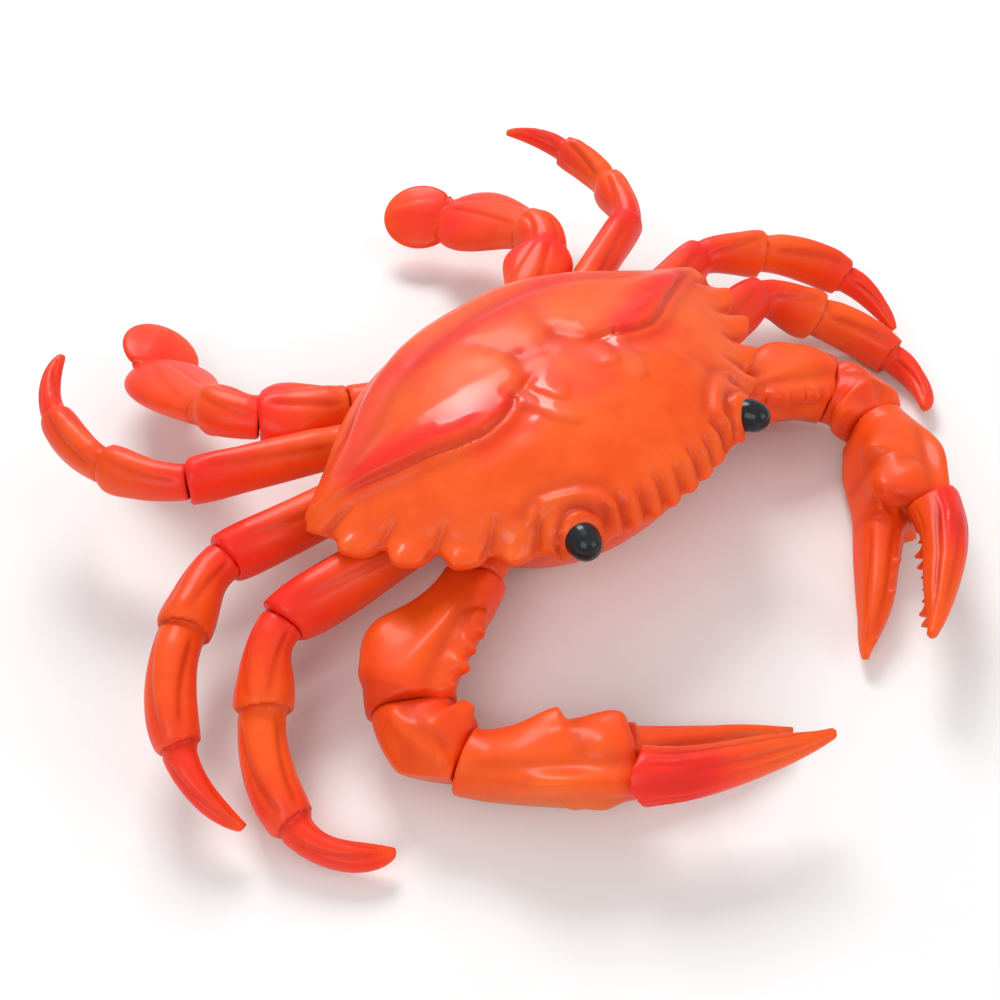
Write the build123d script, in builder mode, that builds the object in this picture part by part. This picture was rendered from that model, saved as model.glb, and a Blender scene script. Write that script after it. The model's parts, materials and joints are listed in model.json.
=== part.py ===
from build123d import *
from math import cos, radians, sin
import os

# A posable crab figurine moulded in vinyl: a two-part hollow shell, bead eyes, and limbs whose links plug
# into one another on swivel pegs. Millimetres. The crab faces -Y and its flat belly rests on Z = 0. Limbs
# are modelled on the crab's right side, which is -X, and mirrored to its left.

os.makedirs("parts", exist_ok=True)

# Carapace: its edge seen from above, from the line between its two side corners
SHELL_HALF_WIDTH = 57.5
SHELL_FRONT = 42.0
SHELL_BACK = 24.5
SHELL_MIDDLE_Y = -6.0
BRIM_Z = 25.5
BRIM_HEIGHT = 1.6
BRIM_TUCK = 0.97
DOME_RISE = 13.8
# Edge points as shares of the half width and of the front or back reach
FRONT_EDGE = ((1.0, 0.0), (0.885, 0.24), (0.69, 0.58), (0.42, 0.90), (0.0, 1.0))
BACK_EDGE = ((1.0, 0.0), (0.87, 0.19), (0.57, 0.71), (0.30, 0.955), (0.0, 1.0))
# The dome's profile is a quarter of a rounded square, drawn in by a share towards the side corners
DOME_POWER = 2.2
DOME_SIDE_FLAT = 0.2
DOME_ANGLES = (0, 10, 20, 30, 40, 50, 60, 70, 80, 87)
LOBE_RADIUS = 4.4
LOBE_HEIGHT = 2.6
TOOTH_RADIUS = 2.0
TOOTH_LIFT = 2.4
# The teeth are balls laid on their sides, so that their poles keep clear of the brim's level edges
TOOTH_TURN = (90, 0, 0)
# Tips along the front edge, as the same shares
LOBE_TIPS = ((0.94261, 0.20952), (0.85217, 0.41905), (0.73043, 0.6), (0.59478, 0.74762))
TOOTH_TIPS = ((0.04522, 1.02857), (0.12522, 1.01905), (0.20522, 1.0), (0.28174, 0.97381))

# Underbody: level, half width, front and back of each section
BELLY_HALF_WIDTH = 20.0
BODY_HALF_WIDTH = 36.0
BODY_LEVELS = (
    (0.0, BELLY_HALF_WIDTH, -23.0, 13.0),
    (10.0, BODY_HALF_WIDTH - 6.0, -33.0, 21.0),
    (20.0, BODY_HALF_WIDTH - 1.0, -38.0, 23.5),
    (BRIM_Z, BODY_HALF_WIDTH, -38.0, 23.0),
)
# How square the outline's corners are: 2 is an ellipse
FRONT_POWER = 2.2
BACK_POWER = 3.2
BODY_POINTS = 16
BODY_WALL = 3.0
POST_RADIUS = 4.0
POST_PIN_RADIUS = 2.0
POST_PIN_LENGTH = 6.0
POST_PLACES = ((0.0, -20.0), (-13.0, 8.0), (13.0, 8.0))
SOCKET_WALL = 2.2
# The carapace's hollow: front and back at the brim, then sections as shares of the dome and of the spread
HOLLOW_INSET = 5.0
HOLLOW_HALF_WIDTH = BODY_HALF_WIDTH - HOLLOW_INSET
HOLLOW_FRONT = -29.0
HOLLOW_BACK = 20.0
HOLLOW_SECTIONS = ((0.0, 1.0), (0.45, 0.82), (0.72, 0.56))
SOCKET_RISE = 0.62

# Fits between plugged pieces
SWIVEL_CLEARANCE = 0.05
FACE_GAP = 0.3
PEG_LENGTH = 6.0
KNEE_PEG_LENGTH = 4.0
PEG_ROOT = 2.5
PEG_END_GAP = 0.4
COLLAR_LIP = 0.4
COLLAR_WIDTH = 1.2
COLLAR_SIDE_GAP = 0.1
BOSS_WALL = 2.0
BOSS_DEPTH = 8.4
HIP_PEG = 2.2
KNEE_PEG = 1.7
SHOULDER_PEG = 3.0
ELBOW_PEG = 2.4
WRIST_PEG = 2.4

# Eyes, placed by shares of the half width and of the front reach
EYE_ACROSS = 0.41043
EYE_ALONG = 0.91905
EYE_LIFT = 4.5
EYE = Vector(-EYE_ACROSS * SHELL_HALF_WIDTH, -EYE_ALONG * SHELL_FRONT, BRIM_Z + EYE_LIFT)
EYE_AIM = Vector(-0.35, -0.93, 0.10).normalized()
EYE_HALF_LENGTH = 4.2
EYE_HALF_WIDTH = 3.3
EYE_ROUND = 3.0
EYE_STALK_RADIUS = 1.5
EYE_STALK_LENGTH = 8.0
ORBIT_RADIUS = 5.2
ORBIT_RIM = 0.9
ORBIT_SET_BACK = 2.2
ORBIT_DROP = 1.0

# Legs: hip and knee of each upper leg, then half sizes (upright, level) at its root, middle and end
UP = Vector(0, 0, 1)
SWIM_WIDE = Vector(-1.0, 0.0, 0.35)
LEG_HIP_X = BODY_HALF_WIDTH + 1.2
THIRD_HIP_X = BODY_HALF_WIDTH - 3.5
SWIM_HIP_X = BODY_HALF_WIDTH - 11.0
UPPER_LEGS = {
    "leg1": (Vector(-LEG_HIP_X, -9.5, 18.0), Vector(-67.8, -7.6, 17.5), (5.4, 4.8), (6.4, 5.3), (4.9, 4.6)),
    "leg2": (Vector(-LEG_HIP_X, 5.5, 19.5), Vector(-67.5, 10.1, 19.5), (5.0, 4.5), (5.4, 4.9), (4.8, 4.4)),
    "leg3": (Vector(-THIRD_HIP_X, 17.5, 20.5), Vector(-62.4, 28.2, 23.0), (4.4, 4.1), (4.8, 4.3), (4.2, 4.0)),
    "leg4": (Vector(-SWIM_HIP_X, 26.5, 20.5), Vector(-41.0, 34.5, 22.0), (4.2, 4.6), (4.6, 7.4), (4.3, 5.8)),
}
# Lower legs: middle and end of each link after the knee, with half sizes at start, middle and end
LOWER_LEGS = {
    "leg1": (
        (Vector(-74.8, -11.2, 14.7), Vector(-80.4, -16.6, 11.4), (4.3, 4.1), (5.2, 4.6), (5.4, 4.8)),
        (Vector(-86.2, -25.5, 7.6), Vector(-88.4, -34.5, 4.9), (4.7, 4.2), (5.3, 4.5), (4.2, 3.7)),
        (Vector(-86.3, -43.2, 3.9), Vector(-79.0, -50.2, 4.4), (3.6, 3.1), (2.9, 2.5), (0.8, 0.8)),
    ),
    "leg2": (
        (Vector(-75.5, 7.2, 19.0), Vector(-82.6, 2.6, 18.1), (4.2, 3.9), (4.9, 4.3), (5.1, 4.5)),
        (Vector(-91.0, -5.6, 15.8), Vector(-95.7, -13.8, 13.2), (4.5, 4.1), (5.2, 4.5), (4.2, 3.6)),
        (Vector(-97.2, -22.5, 9.8), Vector(-95.2, -30.4, 6.9), (3.5, 3.0), (2.7, 2.3), (0.8, 0.8)),
    ),
    "leg3": (
        (Vector(-68.0, 34.3, 22.9), Vector(-71.9, 42.5, 22.9), (3.7, 3.5), (4.4, 3.9), (4.4, 3.8)),
        (Vector(-73.6, 50.6, 23.8), Vector(-72.9, 59.3, 25.4), (3.8, 3.4), (4.4, 3.7), (3.5, 3.0)),
        (Vector(-69.8, 65.9, 27.4), Vector(-63.7, 70.8, 29.4), (2.9, 2.6), (2.3, 2.1), (0.8, 0.8)),
    ),
    "leg4": (
        (Vector(-45.2, 39.6, 22.4), Vector(-46.2, 44.6, 20.6), (4.0, 5.2), (4.6, 5.6), (4.8, 4.4)),
        (Vector(-46.2, 57.5, 16.6), Vector(-43.6, 71.8, 12.6), (5.4, 3.6), (9.0, 4.0), (6.0, 2.8)),
    ),
}
LINK_OVERLAP = 1.6
LINK_LEAD = 1.2
PADDLE_AIM = Vector(0.60, 0.78, -0.05).normalized()
PADDLE_LIFT = Vector(0.10, -0.60, 0.80)
PADDLE_OVERLAP = 2.6
PADDLE_HALF_LENGTH = 9.6
PADDLE_HALF_WIDTH = 8.8
PADDLE_THICKNESS = 3.0
PADDLE_ROUND = 1.1

# Claw arm and wrist: each joint stands a step away from the one before it
SHOULDER_INSET = 1.0
ELBOW_STEP = Vector(-26.0, -11.3, -5.0)
WRIST_MIDDLE_STEP = Vector(-2.0, -6.7, -0.4)
WRIST_STEP = Vector(0.0, -13.1, -1.2)
SPINE_STEP = Vector(6.2, -8.5, 2.2)
PALM_STEP = Vector(12.0, -13.6, 1.1)
SHOULDER = Vector(SHOULDER_INSET - BODY_HALF_WIDTH, -23.0, 16.0)
ELBOW = SHOULDER + ELBOW_STEP
ARM_SIZES = ((6.6, 6.2), (7.6, 8.0), (7.5, 8.2))
ARM_BOW = Vector(-2.2, 2.0, 0.0)
ARM_KNOB_RADIUS = 2.4
ARM_KNOB_SHARES = (0.42, 0.58, 0.74)
ARM_KNOB_RISE = 4.4
WRIST_MIDDLE = ELBOW + WRIST_MIDDLE_STEP
WRIST = ELBOW + WRIST_STEP
WRIST_SIZES = ((7.0, 7.4), (8.0, 8.0), (7.0, 6.8))
SPINE_TIP = ELBOW + SPINE_STEP
SPINE_BASE_RADIUS = 5.0
SPINE_TIP_RADIUS = 1.0

# Palm: its middle, its long direction, and the direction across it from the fixed to the movable finger
PALM = WRIST + PALM_STEP
PALM_LONG = Vector(0.76, -0.65, 0.0).normalized()
PALM_TILT = 47.0
PALM_ACROSS = PALM_LONG.cross(UP).rotate(Axis((0, 0, 0), PALM_LONG), -PALM_TILT)
PALM_THIN = PALM_LONG.cross(PALM_ACROSS)
# Palm stations: place along, across and through the palm, then half sizes across and through
PALM_STATIONS = (
    (-14.0, -2.6, 0.0, 8.6, 6.2),
    (-7.5, -2.0, 0.0, 10.4, 6.9),
    (1.0, 0.0, 0.0, 11.5, 7.4),
    (12.0, -0.8, 0.0, 9.8, 6.4),
)
PALM_ROOT_SIZE = (6.4, 6.2)
FIXED_FINGER = (
    (6.0, -5.2, 0.0, 5.8, 5.8),
    (15.0, -6.6, -0.3, 5.2, 4.8),
    (26.0, -8.4, -0.8, 4.3, 3.9),
    (35.0, -10.4, -1.5, 2.8, 2.6),
    (41.6, -11.8, -2.0, 0.9, 0.9),
)
MOVABLE_FINGER = (
    (5.0, 5.6, 1.2, 5.6, 5.6),
    (16.0, 7.0, 1.2, 4.9, 4.7),
    (27.0, 6.6, -0.2, 3.9, 3.7),
    (37.0, 5.0, -2.0, 2.5, 2.4),
    (44.8, 3.4, -3.8, 0.9, 0.9),
)
# Knobs, from the palm's middle
PALM_KNOBS = (Vector(-1.6, 1.0, 6.3), Vector(2.6, -4.4, 6.1), Vector(-4.6, -5.6, 1.7))
PALM_KNOB_RADIUS = 2.6
# Finger hinge
PIN_PLACE = (5.0, 5.6, 1.0)
PIN_RADIUS = 1.0
PIN_LENGTH = 9.0
KNUCKLE_RADIUS = 6.0
KNUCKLE_FLOOR = -1.0
TONGUE_RADIUS = 3.4
TONGUE_THICKNESS = 4.0
TONGUE_WIDTH = 4.4
TONGUE_REACH = 9.0
TONGUE_GAP = 0.25
# The finger's room is cut as far as the finger reaches
CUT_REACH = MOVABLE_FINGER[-1][0]


def superellipse(half_width, front, back):
    """Points of a rounded outline, rounder at the front than at the back."""
    middle = (front + back) / 2
    half_length = (back - front) / 2
    points = []
    for step in range(BODY_POINTS):
        spoke = Vector(1, 0).rotate(Axis.Z, 360 * step / BODY_POINTS)
        power = FRONT_POWER if spoke.Y < 0 else BACK_POWER
        size = (abs(spoke.X) ** power + abs(spoke.Y) ** power) ** (1 / power)
        points.append((half_width * spoke.X / size, middle + half_length * spoke.Y / size))
    return points


def edge_points(shape, reach, side_spread, spread):
    """One edge of the carapace from its right corner over the middle to its left corner."""
    half = []
    for across, along in shape:
        y = SHELL_MIDDLE_Y + (along * reach - SHELL_MIDDLE_Y) * spread
        half.append((-across * SHELL_HALF_WIDTH * side_spread, y))
    return half + [(-x, y) for x, y in half[-2::-1]]


def front_place(across, along):
    """A place by the carapace's right front edge, from its shares of half width and front reach."""
    return Vector(-across * SHELL_HALF_WIDTH, -along * SHELL_FRONT)


def station(point, direction, wide):
    """A plane square to direction whose X lies as near to wide as it can."""
    square = wide - direction * wide.dot(direction)
    return Plane(origin=point, x_dir=square.normalized(), z_dir=direction)


def link(points, sizes, wide, first_aim=None, last_aim=None, ruled=False):
    """A limb link lofted through ellipses along its middle line. It starts straight along first_aim.

    ruled keeps its sides straight from one ellipse to the next."""
    if first_aim:
        points = [points[0], points[0] + first_aim * LINK_LEAD, *points[1:]]
        sizes = [sizes[0], sizes[0], *sizes[1:]]
    last = len(points) - 1
    with BuildPart() as body:
        for place, (point, size) in enumerate(zip(points, sizes)):
            aim = (points[min(place + 1, last)] - points[max(place - 1, 0)]).normalized()
            if place < 2 and first_aim:
                aim = first_aim
            if place == last and last_aim:
                aim = last_aim
            with BuildSketch(station(point, aim, wide)):
                Ellipse(size[0], size[1])
        loft(ruled=ruled)
    return body.part


def peg(seat, radius, length=PEG_LENGTH):
    """A swivel peg that points back from its seat, with the collar that snaps into the socket."""
    with BuildPart(seat) as body:
        with Locations((0, 0, PEG_ROOT)):
            Cylinder(radius, length + PEG_ROOT, align=(Align.CENTER, Align.CENTER, Align.MAX))
        with Locations((0, 0, -length / 2)):
            Cylinder(radius + COLLAR_LIP, COLLAR_WIDTH)
    return body.part


def socket(seat, radius, length=PEG_LENGTH):
    """The room that a peg needs behind its seat."""
    with BuildPart(seat) as body:
        depth = length + PEG_END_GAP
        Cylinder(radius + SWIVEL_CLEARANCE, depth, align=(Align.CENTER, Align.CENTER, Align.MAX))
        with Locations((0, 0, -length / 2)):
            Cylinder(radius + COLLAR_LIP + SWIVEL_CLEARANCE, COLLAR_WIDTH + 2 * COLLAR_SIDE_GAP)
    return body.part


def boss(seat, radius):
    """The post round a limb socket of the underbody, out to the seat."""
    with BuildPart(seat) as body:
        Cylinder(radius + BOSS_WALL, BOSS_DEPTH, align=(Align.CENTER, Align.CENTER, Align.MAX))
    return body.part


def ball(point, radius):
    """A round knob."""
    with BuildPart(Plane(origin=point)) as body:
        Sphere(radius)
    return body.part


def palm_point(along, across, through):
    """A point in the palm's own directions."""
    return PALM + PALM_LONG * along + PALM_ACROSS * across + PALM_THIN * through


def save(piece, name):
    """Write one finished piece."""
    piece.label = name
    export_step(piece, f"parts/{name}.step")


def save_pair(piece, name):
    """Write a right-hand piece and its mirror image."""
    save(piece, f"{name}_right")
    save(mirror(piece, about=Plane.YZ), f"{name}_left")


# Seats: the plane of each joint face, looking out along the limb. At a bend it halves the angle.
hip_seats = {}
knee_seats = {}
for name, (hip, knee, *sizes) in UPPER_LEGS.items():
    aim = (knee - hip).normalized()
    next_aim = (LOWER_LEGS[name][0][0] - knee).normalized()
    hip_seats[name] = station(hip, aim, UP)
    knee_seats[name] = station(knee, (aim + next_aim).normalized(), UP)
arm_aim = (ELBOW - SHOULDER).normalized()
wrist_run = (WRIST - ELBOW).normalized()
shoulder_seat = station(SHOULDER, arm_aim, UP)
elbow_seat = station(ELBOW, (arm_aim + wrist_run).normalized(), UP)
wrist_seat = station(WRIST, (wrist_run + PALM_LONG).normalized(), PALM_ACROSS)

# Eyes: a round-ended bead on a stalk
with BuildPart(Plane(origin=EYE, z_dir=-EYE_AIM)) as eye:
    Cylinder(EYE_HALF_WIDTH, 2 * EYE_HALF_LENGTH)
    fillet(eye.edges().filter_by(GeomType.CIRCLE), EYE_ROUND)
    Cylinder(EYE_STALK_RADIUS, EYE_STALK_LENGTH, align=(Align.CENTER, Align.CENTER, Align.MIN))
save_pair(eye.part, "eye")

with BuildPart() as eye_hole:
    with BuildSketch(Plane(origin=EYE, z_dir=-EYE_AIM)):
        Circle(EYE_STALK_RADIUS)
    extrude(amount=EYE_STALK_LENGTH)
orbit_middle = EYE - EYE_AIM * ORBIT_SET_BACK - UP * ORBIT_DROP
with BuildPart(Plane(origin=orbit_middle)) as orbit_rim:
    Sphere(ORBIT_RADIUS + ORBIT_RIM)
    split(bisect_by=Plane.XY.offset(BRIM_Z), keep=Keep.TOP)
orbit_cut = ball(EYE, ORBIT_RADIUS)

# Carapace: a domed shell over a hollow, with sockets for the underbody's posts
with BuildPart() as shell_hollow:
    for share, spread in HOLLOW_SECTIONS:
        with BuildSketch(Plane.XY.offset(BRIM_Z + (BRIM_HEIGHT + DOME_RISE) * share)):
            with BuildLine():
                size = (HOLLOW_HALF_WIDTH * spread, HOLLOW_FRONT * spread, HOLLOW_BACK * spread)
                Spline(*superellipse(*size), periodic=True)
            make_face()
    loft()

with BuildPart() as carapace:
    sections = [(BRIM_Z, BRIM_TUCK, BRIM_TUCK)]
    for angle in DOME_ANGLES:
        level = BRIM_Z + BRIM_HEIGHT + DOME_RISE * sin(radians(angle)) ** (2 / DOME_POWER)
        spread = cos(radians(angle)) ** (2 / DOME_POWER)
        sections.append((level, spread * (1 - DOME_SIDE_FLAT * sin(radians(2 * angle))), spread))
    for level, side_spread, spread in sections:
        with BuildSketch(Plane.XY.offset(level)):
            with BuildLine():
                Spline(*edge_points(FRONT_EDGE, -SHELL_FRONT, side_spread, spread))
                Spline(*edge_points(BACK_EDGE, SHELL_BACK, side_spread, spread))
            make_face()
    loft(ruled=True)
    for side in (1, -1):
        with BuildSketch(Plane.XY.offset(BRIM_Z)):
            for shares in LOBE_TIPS:
                tip = front_place(*shares)
                inward = Vector(-tip.X, SHELL_MIDDLE_Y - tip.Y).normalized() * LOBE_RADIUS
                with Locations((side * (tip.X + inward.X), tip.Y + inward.Y)):
                    Circle(LOBE_RADIUS)
        extrude(amount=LOBE_HEIGHT)
        for shares in TOOTH_TIPS:
            tip = front_place(*shares)
            with Locations((side * tip.X, tip.Y + TOOTH_RADIUS, BRIM_Z + TOOTH_LIFT)):
                Sphere(TOOTH_RADIUS, rotation=TOOTH_TURN)
    add(orbit_rim.part)
    add(mirror(orbit_rim.part, about=Plane.YZ, mode=Mode.PRIVATE))
    add(orbit_cut, mode=Mode.SUBTRACT)
    add(mirror(orbit_cut, about=Plane.YZ, mode=Mode.PRIVATE), mode=Mode.SUBTRACT)
    add(shell_hollow.part, mode=Mode.SUBTRACT)
    add(eye_hole.part, mode=Mode.SUBTRACT)
    add(mirror(eye_hole.part, about=Plane.YZ, mode=Mode.PRIVATE), mode=Mode.SUBTRACT)
    with Locations(*[(x, y, BRIM_Z) for x, y in POST_PLACES]):
        Cylinder(POST_PIN_RADIUS + SOCKET_WALL, BRIM_HEIGHT + DOME_RISE * SOCKET_RISE,
                 align=(Align.CENTER, Align.CENTER, Align.MIN))
    with Locations(*[(x, y, BRIM_Z) for x, y in POST_PLACES]):
        Cylinder(POST_PIN_RADIUS + SWIVEL_CLEARANCE, POST_PIN_LENGTH + PEG_END_GAP,
                 align=(Align.CENTER, Align.CENTER, Align.MIN), mode=Mode.SUBTRACT)
save(carapace.part, "carapace")

# Underbody: a hollow tray with limb sockets and the posts that locate the carapace
with BuildPart() as body_hollow:
    for level, half_width, front, back in BODY_LEVELS:
        with BuildSketch(Plane.XY.offset(max(level, BODY_WALL))):
            with BuildLine():
                inner = superellipse(half_width - BODY_WALL, front + BODY_WALL, back - BODY_WALL)
                Spline(*inner, periodic=True)
            make_face()
    loft()

seats = [(seat, HIP_PEG) for seat in hip_seats.values()] + [(shoulder_seat, SHOULDER_PEG)]
bosses = [boss(seat, radius) for seat, radius in seats]
sockets = [socket(seat, radius) for seat, radius in seats]
with BuildPart() as underbody:
    for level, half_width, front, back in BODY_LEVELS:
        with BuildSketch(Plane.XY.offset(level)):
            with BuildLine():
                Spline(*superellipse(half_width, front, back), periodic=True)
            make_face()
    loft()
    add(body_hollow.part, mode=Mode.SUBTRACT)
    for piece in bosses:
        add(piece)
        add(mirror(piece, about=Plane.YZ, mode=Mode.PRIVATE))
    for piece in sockets:
        add(piece, mode=Mode.SUBTRACT)
        add(mirror(piece, about=Plane.YZ, mode=Mode.PRIVATE), mode=Mode.SUBTRACT)
    with Locations(*[(x, y, BODY_WALL / 2) for x, y in POST_PLACES]):
        Cylinder(POST_RADIUS, BRIM_Z - BODY_WALL / 2, align=(Align.CENTER, Align.CENTER, Align.MIN))
    with Locations(*[(x, y, BODY_WALL) for x, y in POST_PLACES]):
        Cylinder(POST_PIN_RADIUS, BRIM_Z + POST_PIN_LENGTH - BODY_WALL,
                 align=(Align.CENTER, Align.CENTER, Align.MIN))
save(underbody.part, "underbody")

# Upper legs: a straight link with a hip peg behind and a knee socket ahead
for name, (hip, knee, *sizes) in UPPER_LEGS.items():
    aim = (knee - hip).normalized()
    start = hip + aim * FACE_GAP
    shaft = link([start, (start + knee) / 2, knee], sizes, UP, aim, knee_seats[name].z_dir)
    hip_peg = peg(hip_seats[name], HIP_PEG)
    knee_socket = socket(knee_seats[name], KNEE_PEG, KNEE_PEG_LENGTH)
    with BuildPart() as upper_leg:
        add(shaft)
        add(hip_peg)
        add(knee_socket, mode=Mode.SUBTRACT)
    save_pair(upper_leg.part, f"{name}_upper")

# Paddle of the swimming leg, turned so that it faces forward and up
paddle_middle = LOWER_LEGS["leg4"][-1][1] + PADDLE_AIM * (PADDLE_HALF_LENGTH - PADDLE_OVERLAP)
paddle_facing = station(paddle_middle, PADDLE_AIM, PADDLE_LIFT).x_dir
with BuildPart() as paddle:
    with BuildSketch(station(paddle_middle, paddle_facing, PADDLE_AIM)):
        Ellipse(PADDLE_HALF_LENGTH, PADDLE_HALF_WIDTH)
    extrude(amount=PADDLE_THICKNESS / 2, both=True)
    fillet(paddle.edges(), PADDLE_ROUND)

# Lower legs: links moulded in one, with a knee peg behind
for name, links in LOWER_LEGS.items():
    seat = knee_seats[name]
    start = seat.origin + seat.z_dir * FACE_GAP
    aim = seat.z_dir
    pieces = [peg(seat, KNEE_PEG, KNEE_PEG_LENGTH)]
    for middle, end, *sizes in links:
        wide = SWIM_WIDE if name == "leg4" and len(pieces) > 1 else UP
        pieces.append(link([start, middle, end], sizes, wide, aim))
        aim = (end - middle).normalized()
        start = end - aim * LINK_OVERLAP
    with BuildPart() as lower_leg:
        for piece in pieces:
            add(piece)
        if name == "leg4":
            add(paddle.part)
    save_pair(lower_leg.part, f"{name}_lower")

# Claw arm: knobs along its front edge, a shoulder peg behind and an elbow socket ahead
arm_start = SHOULDER + arm_aim * FACE_GAP
arm_middle = (arm_start + ELBOW) / 2 + ARM_BOW
arm_shaft = link([arm_start, arm_middle, ELBOW], ARM_SIZES, UP, arm_aim, elbow_seat.z_dir)
arm_front = arm_aim.cross(UP).normalized() * -1
arm_knobs = []
for share in ARM_KNOB_SHARES:
    middle = SHOULDER + (ELBOW - SHOULDER) * share
    arm_knobs.append(ball(middle + (arm_front + UP) * ARM_KNOB_RISE, ARM_KNOB_RADIUS))
shoulder_peg = peg(shoulder_seat, SHOULDER_PEG)
elbow_socket = socket(elbow_seat, ELBOW_PEG)
with BuildPart() as claw_arm:
    add(arm_shaft)
    for knob in arm_knobs:
        add(knob)
    add(shoulder_peg)
    add(elbow_socket, mode=Mode.SUBTRACT)
save_pair(claw_arm.part, "claw_arm")

# Claw wrist: a short wedge with an inner spine
wrist_start = ELBOW + elbow_seat.z_dir * FACE_GAP
wrist_block = link([wrist_start, WRIST_MIDDLE, WRIST], WRIST_SIZES, UP, elbow_seat.z_dir, wrist_seat.z_dir)
spine_aim = (SPINE_TIP - WRIST_MIDDLE).normalized()
with BuildPart(station(WRIST_MIDDLE, spine_aim, UP)) as wrist_spine:
    Cone(SPINE_BASE_RADIUS, SPINE_TIP_RADIUS, (SPINE_TIP - WRIST_MIDDLE).length,
         align=(Align.CENTER, Align.CENTER, Align.MIN))
elbow_peg = peg(elbow_seat, ELBOW_PEG)
wrist_socket = socket(wrist_seat, WRIST_PEG)
with BuildPart() as claw_wrist:
    add(wrist_block)
    add(wrist_spine.part)
    add(elbow_peg)
    add(wrist_socket, mode=Mode.SUBTRACT)
save_pair(claw_wrist.part, "claw_wrist")

# Finger hinge: the pin's plane looks through the palm, with X along it
pin_middle = palm_point(*PIN_PLACE)
pin_plane = Plane(origin=pin_middle, x_dir=PALM_LONG, z_dir=PALM_THIN)
with BuildPart(pin_plane) as claw_pin:
    Cylinder(PIN_RADIUS, PIN_LENGTH)
save_pair(claw_pin.part, "claw_pin")

with BuildPart() as finger_room:
    with BuildSketch(pin_plane.offset(-CUT_REACH / 2)):
        with Locations((0, KNUCKLE_FLOOR - PIN_PLACE[1])):
            Rectangle(CUT_REACH, CUT_REACH, align=(Align.MIN, Align.MIN))
        Circle(KNUCKLE_RADIUS, mode=Mode.SUBTRACT)
    extrude(amount=CUT_REACH)

with BuildPart() as tongue_room:
    with BuildSketch(pin_plane.offset(-TONGUE_THICKNESS / 2 - TONGUE_GAP)):
        Circle(TONGUE_RADIUS + TONGUE_GAP)
        Rectangle(KNUCKLE_RADIUS * 2, KNUCKLE_RADIUS * 2, align=(Align.MIN, Align.CENTER))
    extrude(amount=TONGUE_THICKNESS + 2 * TONGUE_GAP)

# Palm with its fixed finger
palm_points = [WRIST + wrist_seat.z_dir * FACE_GAP] + [palm_point(*row[:3]) for row in PALM_STATIONS]
palm_sizes = [PALM_ROOT_SIZE] + [row[3:] for row in PALM_STATIONS]
palm_block = link(palm_points, palm_sizes, PALM_ACROSS, wrist_seat.z_dir, PALM_LONG, ruled=True)
fixed_finger = link([palm_point(*row[:3]) for row in FIXED_FINGER], [row[3:] for row in FIXED_FINGER],
                    PALM_ACROSS, PALM_LONG)
palm_knobs = [ball(PALM + offset, PALM_KNOB_RADIUS) for offset in PALM_KNOBS]
wrist_peg = peg(wrist_seat, WRIST_PEG)
with BuildPart() as claw_palm:
    add(palm_block)
    for knob in palm_knobs:
        add(knob)
    add(finger_room.part, mode=Mode.SUBTRACT)
    add(fixed_finger)
    add(tongue_room.part, mode=Mode.SUBTRACT)
    add(claw_pin.part, mode=Mode.SUBTRACT)
    add(wrist_peg)
save_pair(claw_palm.part, "claw_palm")

# Movable finger: its root is hollowed round the knuckle, and its tongue turns on the pin
finger_shaft = link([palm_point(*row[:3]) for row in MOVABLE_FINGER], [row[3:] for row in MOVABLE_FINGER],
                    PALM_ACROSS, PALM_LONG)
with BuildPart(pin_plane) as knuckle:
    Cylinder(KNUCKLE_RADIUS + FACE_GAP, CUT_REACH)
with BuildPart() as tongue:
    with BuildSketch(pin_plane.offset(-TONGUE_THICKNESS / 2)):
        Circle(TONGUE_RADIUS)
        Rectangle(TONGUE_REACH, TONGUE_WIDTH, align=(Align.MIN, Align.CENTER))
        Circle(PIN_RADIUS + SWIVEL_CLEARANCE, mode=Mode.SUBTRACT)
    extrude(amount=TONGUE_THICKNESS)
with BuildPart() as claw_finger:
    add(finger_shaft)
    add(knuckle.part, mode=Mode.SUBTRACT)
    add(tongue.part)
save_pair(claw_finger.part, "claw_finger")
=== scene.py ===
# %% [markdown]
# # A posable vinyl crab
# The real thing is a figurine moulded in soft vinyl: a domed shell on a belly tray, black bead eyes, eight
# legs and two claws that plug into one another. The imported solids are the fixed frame. This lesson models
# the skin of each moulding over its solid, the way a sculptor lays clay on an armature: copy the solid, turn
# it into an even skin of small quads, smooth it, push ridges and creases into it, and paint it.

# %% Frame and tools
import json
import math

import bmesh
import bpy
import numpy as np
from mathutils import Matrix, Vector


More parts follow.
